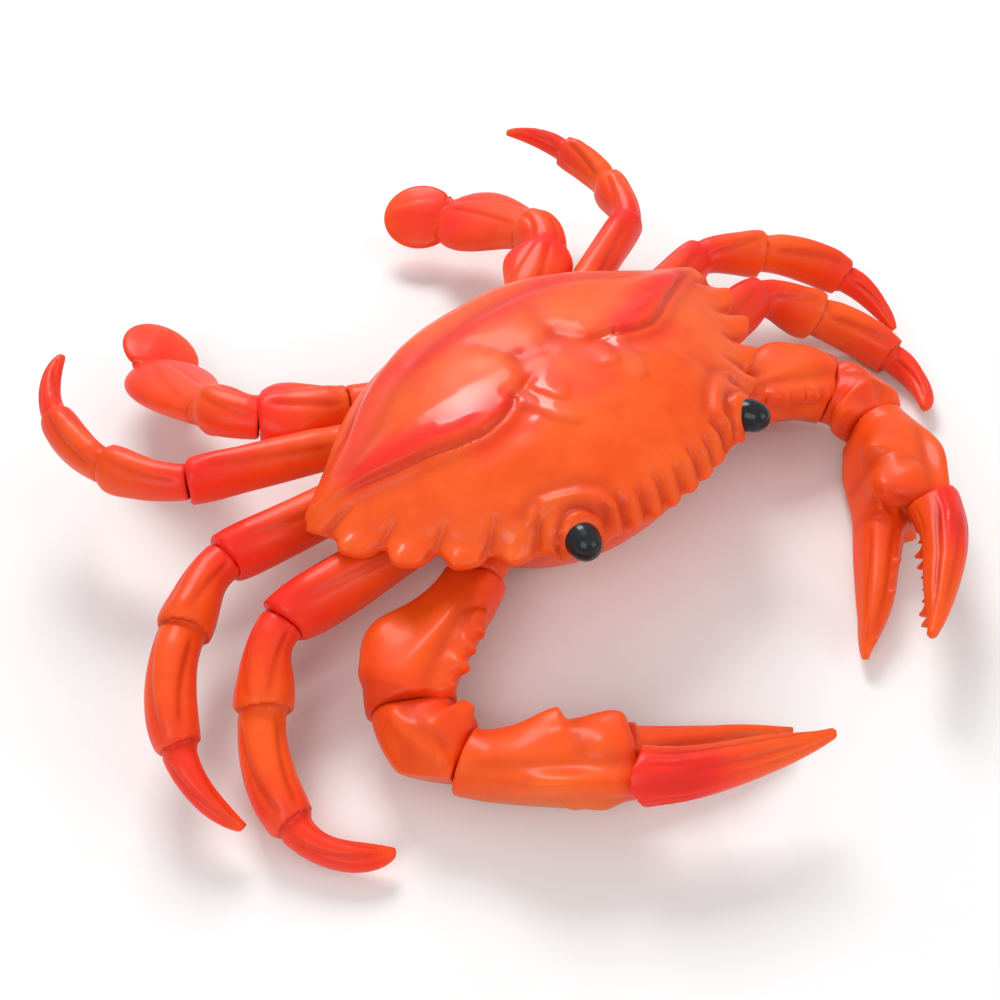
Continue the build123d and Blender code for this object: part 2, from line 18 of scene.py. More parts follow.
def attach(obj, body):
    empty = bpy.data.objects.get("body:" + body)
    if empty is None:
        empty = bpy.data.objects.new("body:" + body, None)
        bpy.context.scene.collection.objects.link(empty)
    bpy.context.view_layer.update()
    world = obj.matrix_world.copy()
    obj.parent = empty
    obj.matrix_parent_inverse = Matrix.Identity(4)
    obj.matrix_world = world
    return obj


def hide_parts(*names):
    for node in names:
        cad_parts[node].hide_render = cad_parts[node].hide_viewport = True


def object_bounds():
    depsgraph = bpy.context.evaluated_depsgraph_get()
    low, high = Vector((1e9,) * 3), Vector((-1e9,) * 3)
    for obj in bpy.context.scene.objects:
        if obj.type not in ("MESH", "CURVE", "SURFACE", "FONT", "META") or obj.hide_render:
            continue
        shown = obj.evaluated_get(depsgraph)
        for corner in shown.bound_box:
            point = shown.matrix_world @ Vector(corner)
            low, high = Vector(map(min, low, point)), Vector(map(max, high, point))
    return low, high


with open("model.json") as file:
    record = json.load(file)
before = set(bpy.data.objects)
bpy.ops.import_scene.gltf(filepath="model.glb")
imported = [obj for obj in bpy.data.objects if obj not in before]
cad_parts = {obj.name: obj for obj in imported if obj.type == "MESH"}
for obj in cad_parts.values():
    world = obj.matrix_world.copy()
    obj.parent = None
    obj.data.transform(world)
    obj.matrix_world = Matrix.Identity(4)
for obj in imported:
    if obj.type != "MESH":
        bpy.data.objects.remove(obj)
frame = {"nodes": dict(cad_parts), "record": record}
cad_box = [list(corner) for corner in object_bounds()]
MM = 0.001
body_of_node = {}
for body, nodes in frame["record"]["behaviour"]["bodies"].items():
    for node in nodes:
        body_of_node[node] = body
print("solids in the frame:", len(frame["nodes"]))

# %% [markdown]
# ## Clay
# A moulded toy has no sharp machined edges, so each solid becomes "clay" first: a voxel remesh gives an even
# skin of quads, and it is kept as plain arrays, in millimetres, because a sculpting stroke is then one line
# of arithmetic on every point at once. Smoothing alternates a pull and a slightly larger push, which takes
# out the facets without shrinking the piece.

# %% Clay class
PULL, PUSH = 0.55, -0.57
WELD, TINY = 1e-6, 1e-9


class Clay:
    """A piece's skin: its points in millimetres, its quads, and what is painted on each point."""

    def __init__(self, mesh, voxel):
        armature = bpy.data.objects.new("armature", mesh)
        bpy.context.scene.collection.objects.link(armature)
        remesh = armature.modifiers.new("Remesh", "REMESH")
        remesh.mode = "VOXEL"
        remesh.voxel_size = voxel * MM
        graph = bpy.context.evaluated_depsgraph_get()
        skin = bpy.data.meshes.new_from_object(armature.evaluated_get(graph))
        self.points = self.read(skin.vertices, "co", 3) / MM
        self.quads = self.read(skin.loops, "vertex_index", 4, int)
        self.ends = self.read(skin.edges, "vertices", 2, int)
        self.paint = {name: np.zeros(len(self.points)) for name in ("red", "crease_shade", "tan", "wet")}
        bpy.data.objects.remove(armature)
        bpy.data.meshes.remove(skin)

    @staticmethod
    def read(items, name, width, kind=float):
        """One property of a mesh collection as rows of numbers."""
        count = len(items) if name == "vertex_index" else len(items) * width
        row = np.empty(count, np.int32 if kind is int else np.float32)
        items.foreach_get(name, row)
        return row.astype(kind).reshape(-1, width)

    def smooth(self, rounds, share=1.0, keep_size=True):
        """Even the skin out. share, one number or one for each point, says how much."""
        a, b = self.ends.T
        count = len(self.points)
        degree = np.bincount(a, minlength=count) + np.bincount(b, minlength=count)
        share = np.broadcast_to(share, count)[:, None]
        for turn in range(rounds):
            mean = np.empty_like(self.points)
            for k in range(3):
                column = self.points[:, k]
                mean[:, k] = np.bincount(a, column[b], count) + np.bincount(b, column[a], count)
            step = PUSH if keep_size and turn % 2 else PULL
            self.points = self.points + step * share * (mean / degree[:, None] - self.points)

    def normals(self):
        """The outward direction at each point."""
        a, b, c, d = (self.points[self.quads[:, k]] for k in range(4))
        face = np.cross(c - a, d - b)
        total = np.zeros_like(self.points)
        for k in range(4):
            for axis in range(3):
                total[:, axis] += np.bincount(self.quads[:, k], face[:, axis], len(total))
        return total / np.maximum(np.linalg.norm(total, axis=1, keepdims=True), TINY)

    def push(self, amount):
        """Move each point along its own outward direction."""
        self.points = self.points + self.normals() * np.asarray(amount)[:, None]


def merged_copy(node):
    """A solid's mesh with its loose triangles joined."""
    mesh = frame["nodes"][node].data.copy()
    bm = bmesh.new()
    bm.from_mesh(mesh)
    bmesh.ops.remove_doubles(bm, verts=bm.verts, dist=WELD)
    bm.to_mesh(mesh)
    bm.free()
    mesh.materials.clear()
    return mesh


def joined(*meshes):
    """Several meshes as one."""
    bm = bmesh.new()
    for mesh in meshes:
        bm.from_mesh(mesh)
    whole = bpy.data.meshes.new("joined")
    bm.to_mesh(whole)
    bm.free()
    return whole


# %% [markdown]
# ## Strokes
# Each ridge, crease and airbrush pass on the toy follows a short path, so a stroke needs only two numbers for
# each point of the skin: how far it is from the path, and how far along the path it lies. A bell curve of the
# distance gives the stroke's soft edge. For a limb, the angle round the path is useful too: 0 is on top. The
# claws also have flat faces, and a plane shaves those off the clay.

# %% Stroke helpers
UP = np.array([0.0, 0.0, 1.0])


def unit(vector):
    return np.asarray(vector, float) / np.linalg.norm(vector)


def bell(distance, width):
    return np.exp(-(distance / width) ** 2)


def ramp(value, low, high):
    """0 below low, 1 above high, and a smooth slope between."""
    share = np.clip((value - low) / (high - low), 0, 1)
    return share * share * (3 - 2 * share)


def bow(start, middle, end, steps=24):
    """Points on the curve through three points."""
    t = np.linspace(0, 1, steps + 1)[:, None]
    start, middle, end = (np.asarray(p, float) for p in (start, middle, end))
    return start * (2 * t - 1) * (t - 1) + middle * 4 * t * (1 - t) + end * t * (2 * t - 1)


def along_path(points, path):
    """Distance to a path, share of its length, and the nearest place and direction on it."""
    path = np.asarray(path, float)
    runs = np.diff(path, axis=0)
    lengths = np.linalg.norm(runs, axis=1)
    reach = np.full(len(points), np.inf)
    share = np.zeros(len(points))
    foot = np.zeros((len(points), path.shape[1]))
    aim = np.zeros_like(foot)
    done = 0.0
    for start, run, length in zip(path, runs, lengths):
        t = np.clip((points - start) @ run / length ** 2, 0, 1)
        place = start + t[:, None] * run
        gap = np.linalg.norm(points - place, axis=1)
        near = gap < reach
        reach[near] = gap[near]
        share[near] = (done + t[near] * length) / lengths.sum()
        foot[near] = place[near]
        aim[near] = run / length
        done += length
    return reach, share, foot, aim


def turn_about(points, foot, aim):
    """The angle of each point round its path, 0 on top and positive to the path's left."""
    top = UP - aim * (aim @ UP)[:, None]
    top /= np.maximum(np.linalg.norm(top, axis=1, keepdims=True), TINY)
    side = np.cross(top, aim)
    spoke = points - foot
    return np.arctan2((spoke * side).sum(1), (spoke * top).sum(1))


def round_gap(angle, middle):
    """How far an angle lies from another, either way round."""
    return np.abs((angle - middle + np.pi) % (2 * np.pi) - np.pi)


def shave(clay, place, aim, soft=0.8, where=1.0):
    """Plane off the clay beyond a flat face, and leave its edges soft. where limits it to some points."""
    aim = unit(aim)
    over = (clay.points - np.asarray(place, float)) @ aim
    clay.points = clay.points - np.outer(where * (over + np.sqrt(over ** 2 + soft ** 2)) / 2, aim)


# %% [markdown]
# ## Vinyl
# The toy is cast in orange vinyl and airbrushed: red is misted over the ridges and joints, and some crests
# were varnished wet. A darker red is painted into the creases and recesses as painted shade, and the
# undersides are painted tan, partly as unsprayed plastic and partly as painted shade.
# The sculpting step paints these four masks on the points, and the shader only mixes by them, with noise so
# that no area is flat. A small class turns sockets into Python numbers, so the shader reads as a formula.

# %% Shader maths
class Wire:
    """A socket that adds nodes when it is used in a sum or a product."""

    def __init__(self, tree, socket):
        self.tree = tree
        self.socket = socket

    def node(self, kind, settings=None, output=0, **inputs):
        """Add a node: settings first, then a value or a wire for each named socket."""
        made = self.tree.nodes.new(kind)
        for name, value in (settings or {}).items():
            setattr(made, name, value)
        for name, value in inputs.items():
            key = int(name[1:]) if name[1:].isdigit() else name.replace("_", " ")
            if isinstance(value, Wire):
                self.tree.links.new(value.socket, made.inputs[key])
            else:
                made.inputs[key].default_value = value
        return Wire(self.tree, made.outputs[output])

    def math(self, operation, a, b):
        return self.node("ShaderNodeMath", {"operation": operation}, i0=a, i1=b)

    def __add__(self, other):
        return self.math("ADD", self, other)

    __radd__ = __add__

    def __sub__(self, other):
        return self.math("SUBTRACT", self, other)

    def __rsub__(self, other):
        return self.math("SUBTRACT", other, self)

    def __mul__(self, other):
        return self.math("MULTIPLY", self, other)

    __rmul__ = __mul__

    def mix(self, share, colour):
        """This colour turned towards another by a share."""
        settings = {"data_type": "RGBA", "clamp_factor": True}
        colour = colour if isinstance(colour, Wire) else (*colour, 1.0)
        return self.node("ShaderNodeMix", settings, 2, i0=share, i6=self, i7=colour)


def new_material(name):
    """A material with one principled shader, and a wire on its object coordinates."""
    material = bpy.data.materials.new(name)
    material.use_nodes = True
    tree = material.node_tree
    shader = next(n for n in tree.nodes if n.type == "BSDF_PRINCIPLED")
    place = Wire(tree, tree.nodes.new("ShaderNodeTexCoord").outputs["Object"])
    return material, shader, place


def noise(place, scale, detail=2.0):
    return place.node("ShaderNodeTexNoise", Vector=place, Scale=scale, Detail=detail)


def blend(share, first, second):
    """A colour that runs from one to another by a share."""
    settings = {"data_type": "RGBA"}
    return share.node("ShaderNodeMix", settings, 2, i0=share, i6=(*first, 1.0), i7=(*second, 1.0))


def feed(shader, **wires):
    for name, wire in wires.items():
        wire.tree.links.new(wire.socket, shader.inputs[name.replace("_", " ")])


# %% Vinyl finish
ORANGE = (0.82, 0.064, 0.003)
WARM_ORANGE = (0.92, 0.124, 0.009)
RED = (0.86, 0.020, 0.011)
# the deep red is painted shade for creases and recesses
CREASE_SHADE_RED = (0.42, 0.013, 0.004)
# the tan is unsprayed underside plastic and painted shade under the overhangs
UNDERSIDE_TAN_AND_SHADE = (0.52, 0.15, 0.03)
BLOTCH = (0.70, 0.038, 0.003)
CLOUD_SCALE, BLOTCH_SCALE, MOTTLE_SCALE, GRAIN_SCALE = 55.0, 120.0, 260.0, 1500.0


def vinyl(name):
    """The toy's plastic with its four painted masks."""
    material, shader, place = new_material(name)

    def painted(mask):
        return place.node("ShaderNodeAttribute", {"attribute_name": mask}, 2)

    cloud = noise(place, CLOUD_SCALE, 3.0)
    mottle = noise(place, MOTTLE_SCALE, 3.0)
    grain = noise(place, GRAIN_SCALE)
    base = blend(cloud * 1.8 + mottle * 0.5 - 0.65, ORANGE, WARM_ORANGE)
    base = base.mix(noise(place, BLOTCH_SCALE, 4.0) * 2.4 - 1.25, BLOTCH)
    base = base.mix(painted("red") * (0.62 + 0.5 * cloud + 0.26 * mottle), RED)
    # tan undersides: unsprayed plastic, and painted shade where the light does not reach
    base = base.mix(painted("tan") * (0.45 + 0.6 * mottle), UNDERSIDE_TAN_AND_SHADE)
    # painted shade: a deep red in the creases and recesses
    base = base.mix(painted("crease_shade") * (0.6 + 0.3 * mottle), CREASE_SHADE_RED)
    roughness = 0.36 + 0.12 * cloud + 0.08 * mottle
    relief = place.node("ShaderNodeBump", Strength=0.12, Distance=0.0004, Height=grain * 0.35 + mottle)
    coat = 0.02 + 0.2 * cloud + 0.6 * painted("wet")
    feed(shader, Base_Color=base, Roughness=roughness, Normal=relief, Coat_Weight=coat)
    shader.inputs["Coat Roughness"].default_value = 0.14
    shader.inputs["Specular IOR Level"].default_value = 0.24
    shader.inputs["IOR"].default_value = 1.48
    return material


shell_vinyl = vinyl("shell vinyl")
leg_vinyl = vinyl("leg vinyl")
claw_vinyl = vinyl("claw vinyl")
belly_vinyl = vinyl("belly vinyl")
print("vinyl finishes made:", 4)

# %% [markdown]
# ## Turning clay into a piece
# A finished skin becomes a mesh object at the origin with its masks as attributes. It rides on its solid's
# body and stands for the solid. The toy is symmetrical, so the crab's left limbs are the right ones with X
# turned over, and their quads wound the other way so that they still face outwards.

# %% Finished pieces
def finished(clay, node, material, side=1):
    """A clay skin as the piece that stands for a solid. side -1 turns X over."""
    mesh = bpy.data.meshes.new(node)
    quads = clay.quads if side == 1 else clay.quads[:, ::-1]
    mesh.from_pydata((clay.points * MM * (side, 1, 1)).tolist(), [], quads.tolist())
    mesh.shade_smooth()
    for name, values in clay.paint.items():
        layer = mesh.attributes.new(name, "FLOAT", "POINT")
        layer.data.foreach_set("value", np.clip(values, 0, 1).astype(np.float32))
    mesh.materials.append(material)
    piece = bpy.data.objects.new(node + "_skin", mesh)
    bpy.context.scene.collection.objects.link(piece)
    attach(piece, body_of_node[node])
    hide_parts(node)
    return piece


def finished_pair(clay, name, material):
    """The right piece and its mirror image on the left."""
    finished(clay, name + "_right", material)
    finished(clay, name + "_left", material, -1)
    print(name, "points:", len(clay.points))


# %% [markdown]
# ## Teeth along a path
# The saw edge of the shell and the biting edges of the pincers are rows of small cones. One node tree makes
# them: it reads a path, puts a point at even steps, and stands a cone on each that leans out of the path at
# right angles to an up direction. The rows are joined to the solid before it turns to clay, so they melt
# into the moulding.

# %% Teeth tree
CONE_SIDES = 14
TEETH_INPUTS = (
    ("Count", "NodeSocketInt"), ("Length", "NodeSocketFloat"), ("Radius", "NodeSocketFloat"),
    ("Tip", "NodeSocketFloat"), ("Jitter", "NodeSocketFloat"), ("Seed", "NodeSocketInt"),
    ("Up", "NodeSocketVector"), ("Material", "NodeSocketMaterial"),
)
teeth_tree = bpy.data.node_groups.new("teeth along a path", "GeometryNodeTree")
teeth_tree.interface.new_socket("Geometry", in_out="INPUT", socket_type="NodeSocketGeometry")
teeth_sockets = {}
for label, kind in TEETH_INPUTS:
    made = teeth_tree.interface.new_socket(label, in_out="INPUT", socket_type=kind)
    teeth_sockets[label] = made.identifier
teeth_tree.interface.new_socket("Geometry", in_out="OUTPUT", socket_type="NodeSocketGeometry")


def tree_node(tree, kind, **settings):
    made = tree.nodes.new(kind)
    for name, value in settings.items():
        setattr(made, name, value)
    return made


# %% Teeth nodes
given = tree_node(teeth_tree, "NodeGroupInput")
path_curve = tree_node(teeth_tree, "GeometryNodeMeshToCurve")
steps = tree_node(teeth_tree, "GeometryNodeCurveToPoints", mode="COUNT")
outward = tree_node(teeth_tree, "ShaderNodeVectorMath", operation="CROSS_PRODUCT")
stand = tree_node(teeth_tree, "FunctionNodeAlignRotationToVector", axis="Z")
cone = tree_node(teeth_tree, "GeometryNodeMeshCone")
low = tree_node(teeth_tree, "ShaderNodeMath", operation="SUBTRACT")
high = tree_node(teeth_tree, "ShaderNodeMath", operation="ADD")
size = tree_node(teeth_tree, "FunctionNodeRandomValue", data_type="FLOAT")
row = tree_node(teeth_tree, "GeometryNodeInstanceOnPoints")
real = tree_node(teeth_tree, "GeometryNodeRealizeInstances")
dressed = tree_node(teeth_tree, "GeometryNodeSetMaterial")
result = tree_node(teeth_tree, "NodeGroupOutput")
cone.inputs["Vertices"].default_value = CONE_SIDES
low.inputs[0].default_value = 1.0
high.inputs[0].default_value = 1.0
for source, target in (
    (given.outputs["Geometry"], path_curve.inputs["Mesh"]),
    (path_curve.outputs["Curve"], steps.inputs["Curve"]),
    (given.outputs["Count"], steps.inputs["Count"]),
    (steps.outputs["Tangent"], outward.inputs[0]),
    (given.outputs["Up"], outward.inputs[1]),
    (outward.outputs["Vector"], stand.inputs["Vector"]),
    (given.outputs["Length"], cone.inputs["Depth"]),
    (given.outputs["Radius"], cone.inputs["Radius Bottom"]),
    (given.outputs["Tip"], cone.inputs["Radius Top"]),
    (given.outputs["Jitter"], low.inputs[1]),
    (given.outputs["Jitter"], high.inputs[1]),
    (low.outputs[0], size.inputs[2]),
    (high.outputs[0], size.inputs[3]),
    (given.outputs["Seed"], size.inputs["Seed"]),
    (steps.outputs["Points"], row.inputs["Points"]),
    (cone.outputs["Mesh"], row.inputs["Instance"]),
    (stand.outputs["Rotation"], row.inputs["Rotation"]),
    (size.outputs[1], row.inputs["Scale"]),
    (row.outputs["Instances"], real.inputs["Geometry"]),
    (real.outputs["Geometry"], dressed.inputs["Geometry"]),
    (given.outputs["Material"], dressed.inputs["Material"]),
    (dressed.outputs["Geometry"], result.inputs["Geometry"]),
):
    teeth_tree.links.new(source, target)
print("nodes in the teeth tree:", len(teeth_tree.nodes))


# %% Rows of teeth
def teeth(path, count, length, radius, tip, jitter, seed, up, material):
    """A row of teeth along a path, in millimetres, as a plain mesh."""
    line = bpy.data.meshes.new("path")
    links = [(k, k + 1) for k in range(len(path) - 1)]
    line.from_pydata((np.asarray(path, float) * MM).tolist(), links, [])
    holder = bpy.data.objects.new("path", line)
    bpy.context.scene.collection.objects.link(holder)
    modifier = holder.modifiers.new("teeth", "NODES")
    modifier.node_group = teeth_tree
    values = {"Count": count, "Length": length * MM, "Radius": radius * MM, "Tip": tip * MM,
              "Jitter": jitter, "Seed": seed, "Up": tuple(up), "Material": material}
    for label, value in values.items():
        modifier[teeth_sockets[label]] = value
    graph = bpy.context.evaluated_depsgraph_get()
    mesh = bpy.data.meshes.new_from_object(holder.evaluated_get(graph))
    bpy.data.objects.remove(holder)
    return mesh


# %% [markdown]
# ## Carapace
# The shell is the piece one sees first: a smooth dome with an oblique ridge from each side corner to the
# middle, folds round an H-shaped dent, a rolled back edge, lobes like a saw along the front corners, and a
# lid over each eye. The dome is shallow, so strokes are drawn in plan, on the half with positive X, and the
# other half gets the same strokes through the size of X.

# %% Carapace clay
BRIM_Z = 25.5
SIDES = (-1, 1)
EYE = np.array((-23.6, -38.6, 30.0))
EYE_AIM = unit((-0.35, -0.93, 0.10))
LOBE_TIPS = ((54.2, -8.8), (49.0, -17.6), (42.0, -25.2), (34.2, -31.4))
TOOTH_TIPS = ((2.6, -43.2), (7.2, -42.8), (11.8, -42.0), (16.2, -40.9))
TOOTH_NOTCHES = (
    # place in plan, length
    (0.0, -42.4, 3.2), (4.9, -42.2, 4.2), (9.5, -41.6, 3.4), (14.0, -40.7, 4.4), (18.0, -39.4, 3.0),
)
SAW_ROOTS = ((49.7, -8.6, 26.7), (44.6, -16.6, 26.7), (37.9, -23.3, 26.7), (30.6, -28.7, 26.7))
CUSHION_RADIUS, CUSHION_BACK, CUSHION_DROP = 4.6, 3.0, 0.6
SHELL_VOXEL = 0.6
cushion_middle = EYE - EYE_AIM * CUSHION_BACK - UP * CUSHION_DROP
extras = []
for side in SIDES:
    roots = [(side * x, y, z) for x, y, z in SAW_ROOTS]
    extras.append(teeth(roots, count=4, length=6.0, radius=2.7, tip=0.6, jitter=0.06, seed=5,
                        up=(0, 0, side), material=shell_vinyl))
    cushion = bmesh.new()
    place = Matrix.Translation(Vector(cushion_middle * (-side, 1, 1)) * MM)
    bmesh.ops.create_icosphere(cushion, subdivisions=4, radius=CUSHION_RADIUS * MM, matrix=place)
    extras.append(bpy.data.meshes.new("orbit cushion"))
    cushion.to_mesh(extras[-1])
    cushion.free()
shell = Clay(joined(merged_copy("carapace"), *extras), SHELL_VOXEL)
outside = ramp(shell.normals()[:, 2], -0.1, 0.25) * ramp(shell.points[:, 2], BRIM_Z, BRIM_Z + 1.5)
shell.smooth(6)
shell.smooth(14, ramp(shell.normals()[:, 2], 0.3, 0.6) * outside, keep_size=False)
folded = np.column_stack((-np.abs(shell.points[:, 0]), shell.points[:, 1:]))
orbit = ramp(9.0 - np.linalg.norm(folded - EYE, axis=1), 0.0, 3.0)
corner = 0.5 * ramp(-folded[:, 0], 53.0, 56.5)
shell.smooth(60, np.maximum(orbit, corner), keep_size=False)
print("carapace points:", len(shell.points))

# %% Oblique ridge
OBLIQUE = ((15.4, -10.8), (19.0, -11.8), (22.8, -11.8), (27.4, -10.0), (32.4, -7.3), (37.7, -5.0),
           (42.9, -2.5), (48.3, -0.3), (54.0, 1.0))
plan = np.column_stack((np.abs(shell.points[:, 0]), shell.points[:, 1]))


def fold(path, behind, ahead):
    """A fold along a path: it rises over one width to its left, and drops over another to its right."""
    reach, share, foot, aim = along_path(plan, path)
    left = aim[:, 0] * (plan - foot)[:, 1] - aim[:, 1] * (plan - foot)[:, 0] > 0
    step = np.where(left, reach, -reach)
    return np.where(left, bell(step, behind), bell(step, ahead)), step, share


rise, step, share = fold(OBLIQUE, 7.0, 1.1)
fade = ramp(1 - share, 0.05, 0.3)
relief = 1.15 * rise * (0.55 + 0.45 * bell(share - 0.45, 0.4)) + 0.3 * bell(step + 2.4, 0.7) * fade
relief -= (0.4 * bell(step + 1.3, 0.7) + 0.4 * bell(step + 5.0, 2.4)) * fade
# Painted shade: a deeper red in the grooves in front of the ridge.
crease_shade = (0.6 * bell(step + 1.2, 0.8) + 0.25 * bell(step + 3.6, 0.9)) * fade
wet = 0.9 * bell(np.hypot(plan[:, 0] - 21.0, (plan[:, 1] + 5.5) * 1.5), 6.0)
print("oblique ridge height:", round(float(relief.max()), 2))

# %% Folds and dents
FOLDS = (
    # path in plan, height, width to its left and to its right
    (((9.8, -10.0), (8.7, -13.3), (7.8, -16.3), (6.1, -18.5)), 0.42, 0.8, 3.0),
    (((15.0, -11.7), (12.4, -15.6), (11.5, -19.4), (9.4, -22.5), (6.4, -23.2)), 0.42, 0.8, 3.2),
    (((16.4, -19.6), (13.6, -17.3), (11.7, -13.8), (10.9, -8.4)), 0.20, 0.7, 2.6),
    (((20.5, -9.0), (25.0, -8.4), (30.0, -6.4)), 0.18, 2.4, 0.7),
    (((51.0, 2.0), (45.0, 4.4), (38.0, 8.2), (31.0, 12.8), (24.0, 16.2), (16.0, 18.8), (8.0, 20.0),
      (-10.0, 20.2)), 0.85, 3.2, 1.5),
)
for path, height, behind, ahead in FOLDS:
    rise, step, share = fold(path, behind, ahead)
    ends = ramp(share, 0.0, 0.2) * ramp(1 - share, 0.0, 0.2)
    relief += height * rise * ends
    # Painted shade: a darker line along the drop side of each fold.
    crease_shade += 0.5 * height * bell(step - 1.3 * np.sign(ahead - behind) * min(behind, ahead), 0.8) * ends
    wet = np.maximum(wet, 0.9 * rise * ends)
STROKES = (
    # path in plan, height, width
    (((5.3, -3.3), (6.5, -6.3), (8.3, -8.9), (10.7, -9.8), (13.5, -9.9)), -0.5, 2.0),
    (((0.0, -5.0), (3.0, -4.2), (5.3, -3.3), (6.0, 1.0), (8.5, 6.0)), -0.28, 2.4),
    (((27.3, -29.9), (24.9, -30.0), (22.1, -31.5), (19.0, -33.5), (16.3, -35.9), (15.7, -37.9)), 0.9, 1.2),
    (((29.0, -28.0), (25.0, -27.6), (21.4, -29.2), (17.6, -31.6), (14.0, -35.0)), -0.35, 1.2),
    (((44.0, 0.5), (38.0, 3.2), (30.0, 7.6), (22.0, 10.8), (12.0, 13.0), (-10.0, 13.6)), -0.4, 2.4),
)
for path, height, width in STROKES:
    gap = along_path(plan, path)[0]
    relief += height * bell(gap, width)
    # Painted shade: darker in each dent, and in a line beside each raised stroke.
    crease_shade += 0.3 * bell(gap, width) if height < 0 else 0.2 * bell(gap - 1.5 * width, 0.7 * width)
SWELLS = (
    # place in plan, radius, height
    (13.5, -25.6, 3.0, -0.35), (12.1, -30.6, 3.4, -0.3), (4.7, -33.6, 3.0, -0.25), (24.4, -25.0, 3.2, -0.3),
    (21.5, -22.0, 4.0, 0.25), (3.9, -27.9, 3.0, -0.2), (28.0, 3.0, 9.0, 0.5), (0.0, 9.0, 6.0, 0.4),
    (34.0, -14.0, 7.0, 0.3),
)
for x, y, radius, height in SWELLS:
    relief += height * bell(np.hypot(plan[:, 0] - x, plan[:, 1] - y), radius)
print("folds, strokes and swells:", len(FOLDS), len(STROKES), len(SWELLS))

# %% Eye sockets and front lumps
socket = np.hypot(plan[:, 0] + EYE[0], plan[:, 1] - EYE[1])
behind_eye = ramp(plan[:, 1] - EYE[1], -0.5, 2.0)
relief -= 0.6 * bell(socket - 4.8, 0.9) * behind_eye
# Painted shade in the recess round the eye, under its lid.
crease_shade += 0.9 * bell(socket - 4.6, 0.9) * behind_eye
for x, y in TOOTH_TIPS:
    relief += 1.1 * bell(np.hypot(plan[:, 0] - x, (plan[:, 1] - y - 2.8) / 1.2), 1.7)
for x, y, length in TOOTH_NOTCHES:
    gap = along_path(plan, ((x, y), (0.97 * x, y + length)))
    relief -= 0.95 * bell(gap[0], 0.75) * (1 - gap[1]) ** 0.5
    # Painted shade in the notches between the front lumps.
    crease_shade += 0.85 * bell(gap[0], 0.7) * (1 - gap[1]) ** 0.5
print("front lumps on each half:", len(TOOTH_TIPS))

# %% Side lobes and back rim
SHELL_MIDDLE = np.array((0.0, -6.0))
LOBE_NOTCHES = ((56.0, -4.0), (52.4, -13.4), (46.2, -21.8), (38.6, -28.8), (31.0, -34.4))
NOTCH_LENGTH, PILLOW_INSET, TIP_LIFT, TIP_SHARE = 8.0, 3.4, 2.6, 0.3
for notch in LOBE_NOTCHES:
    gap = along_path(plan, (notch, notch + NOTCH_LENGTH * unit(SHELL_MIDDLE - notch)))
    relief -= 1.0 * bell(gap[0], 0.75) * (1 - gap[1]) ** 0.5
    # Painted shade in the notches between the lobes.
    crease_shade += 0.75 * bell(gap[0], 0.8) * (1 - gap[1]) ** 0.5
for tip in LOBE_TIPS:
    inset = PILLOW_INSET * unit(SHELL_MIDDLE - tip)
    pillow = bell(np.linalg.norm(plan - tip - inset, axis=1), 2.6)
    relief += 0.55 * pillow
    wet = np.maximum(wet, 0.6 * pillow)
    near_tip = TIP_SHARE * bell(np.linalg.norm(plan - tip, axis=1), 1.9)
    shell.points[:, 0] -= near_tip * inset[0] * np.sign(shell.points[:, 0])
    shell.points[:, 1] -= near_tip * inset[1]
    shell.points[:, 2] += near_tip * TIP_LIFT
at_back = ramp(plan[:, 1], 0.0, 8.0)
rim = bell(shell.points[:, 2] - BRIM_Z - 2.2, 1.3) * at_back
relief += 0.35 * rim - 0.3 * bell(shell.points[:, 2] - BRIM_Z - 5.4, 1.2) * at_back
wet = np.maximum(wet, 0.8 * rim)
shell.push(relief * outside)
shell.smooth(2)
shell.points[:, 2] = np.minimum(shell.points[:, 2], cad_box[1][2] / MM)
print("relief on the shell:", round(float(relief.min()), 2), "to", round(float(relief.max()), 2))

# %% Carapace paint
AIRBRUSH = (
    # path in plan, strength, width
    (((43.9, -0.9), (36.5, -3.7), (28.9, -6.3), (21.5, -9.1), (16.4, -10.5)), 0.95, 3.6),
    (((24.6, 14.6), (17.0, 12.6), (8.8, 11.3), (0.0, 10.6)), 0.85, 4.2),
    (((4.2, -3.6), (1.6, -7.3), (7.4, -12.4), (15.0, -16.1), (25.7, -14.9)), 0.5, 3.0),
    (((44.0, 2.4), (36.0, 8.0), (26.9, 15.4)), 0.6, 3.4),
    (((8.1, -8.7), (5.1, -13.8), (2.3, -18.8)), 0.45, 3.4),
)
red = np.zeros(len(plan))
for path, strength, width in AIRBRUSH:
    red = np.maximum(red, strength * bell(along_path(plan, path)[0], width))
shell.paint["red"] = red * outside + 0.25 * (1 - outside)
# The crease paint is painted shade in the grooves, dents and notches.
shell.paint["crease_shade"] = crease_shade * outside
shell.paint["wet"] = wet * outside
# Tan under the brim: unsprayed plastic, and painted shade under the overhang.
under = ramp(-shell.normals()[:, 2], 0.2, 0.7)
shell.paint["tan"] = 0.7 * under * ramp(BRIM_Z + 3 - shell.points[:, 2], 0, 1)
finished(shell, "carapace", shell_vinyl)
print("airbrush passes on each half:", len(AIRBRUSH))

# %% [markdown]
# ## Belly tray
# The underbody is seen below the rim and from behind. It gets the apron of a real crab: a tapering flap with
# cross lines down the middle of the belly, and grooves that fan out to the leg roots.

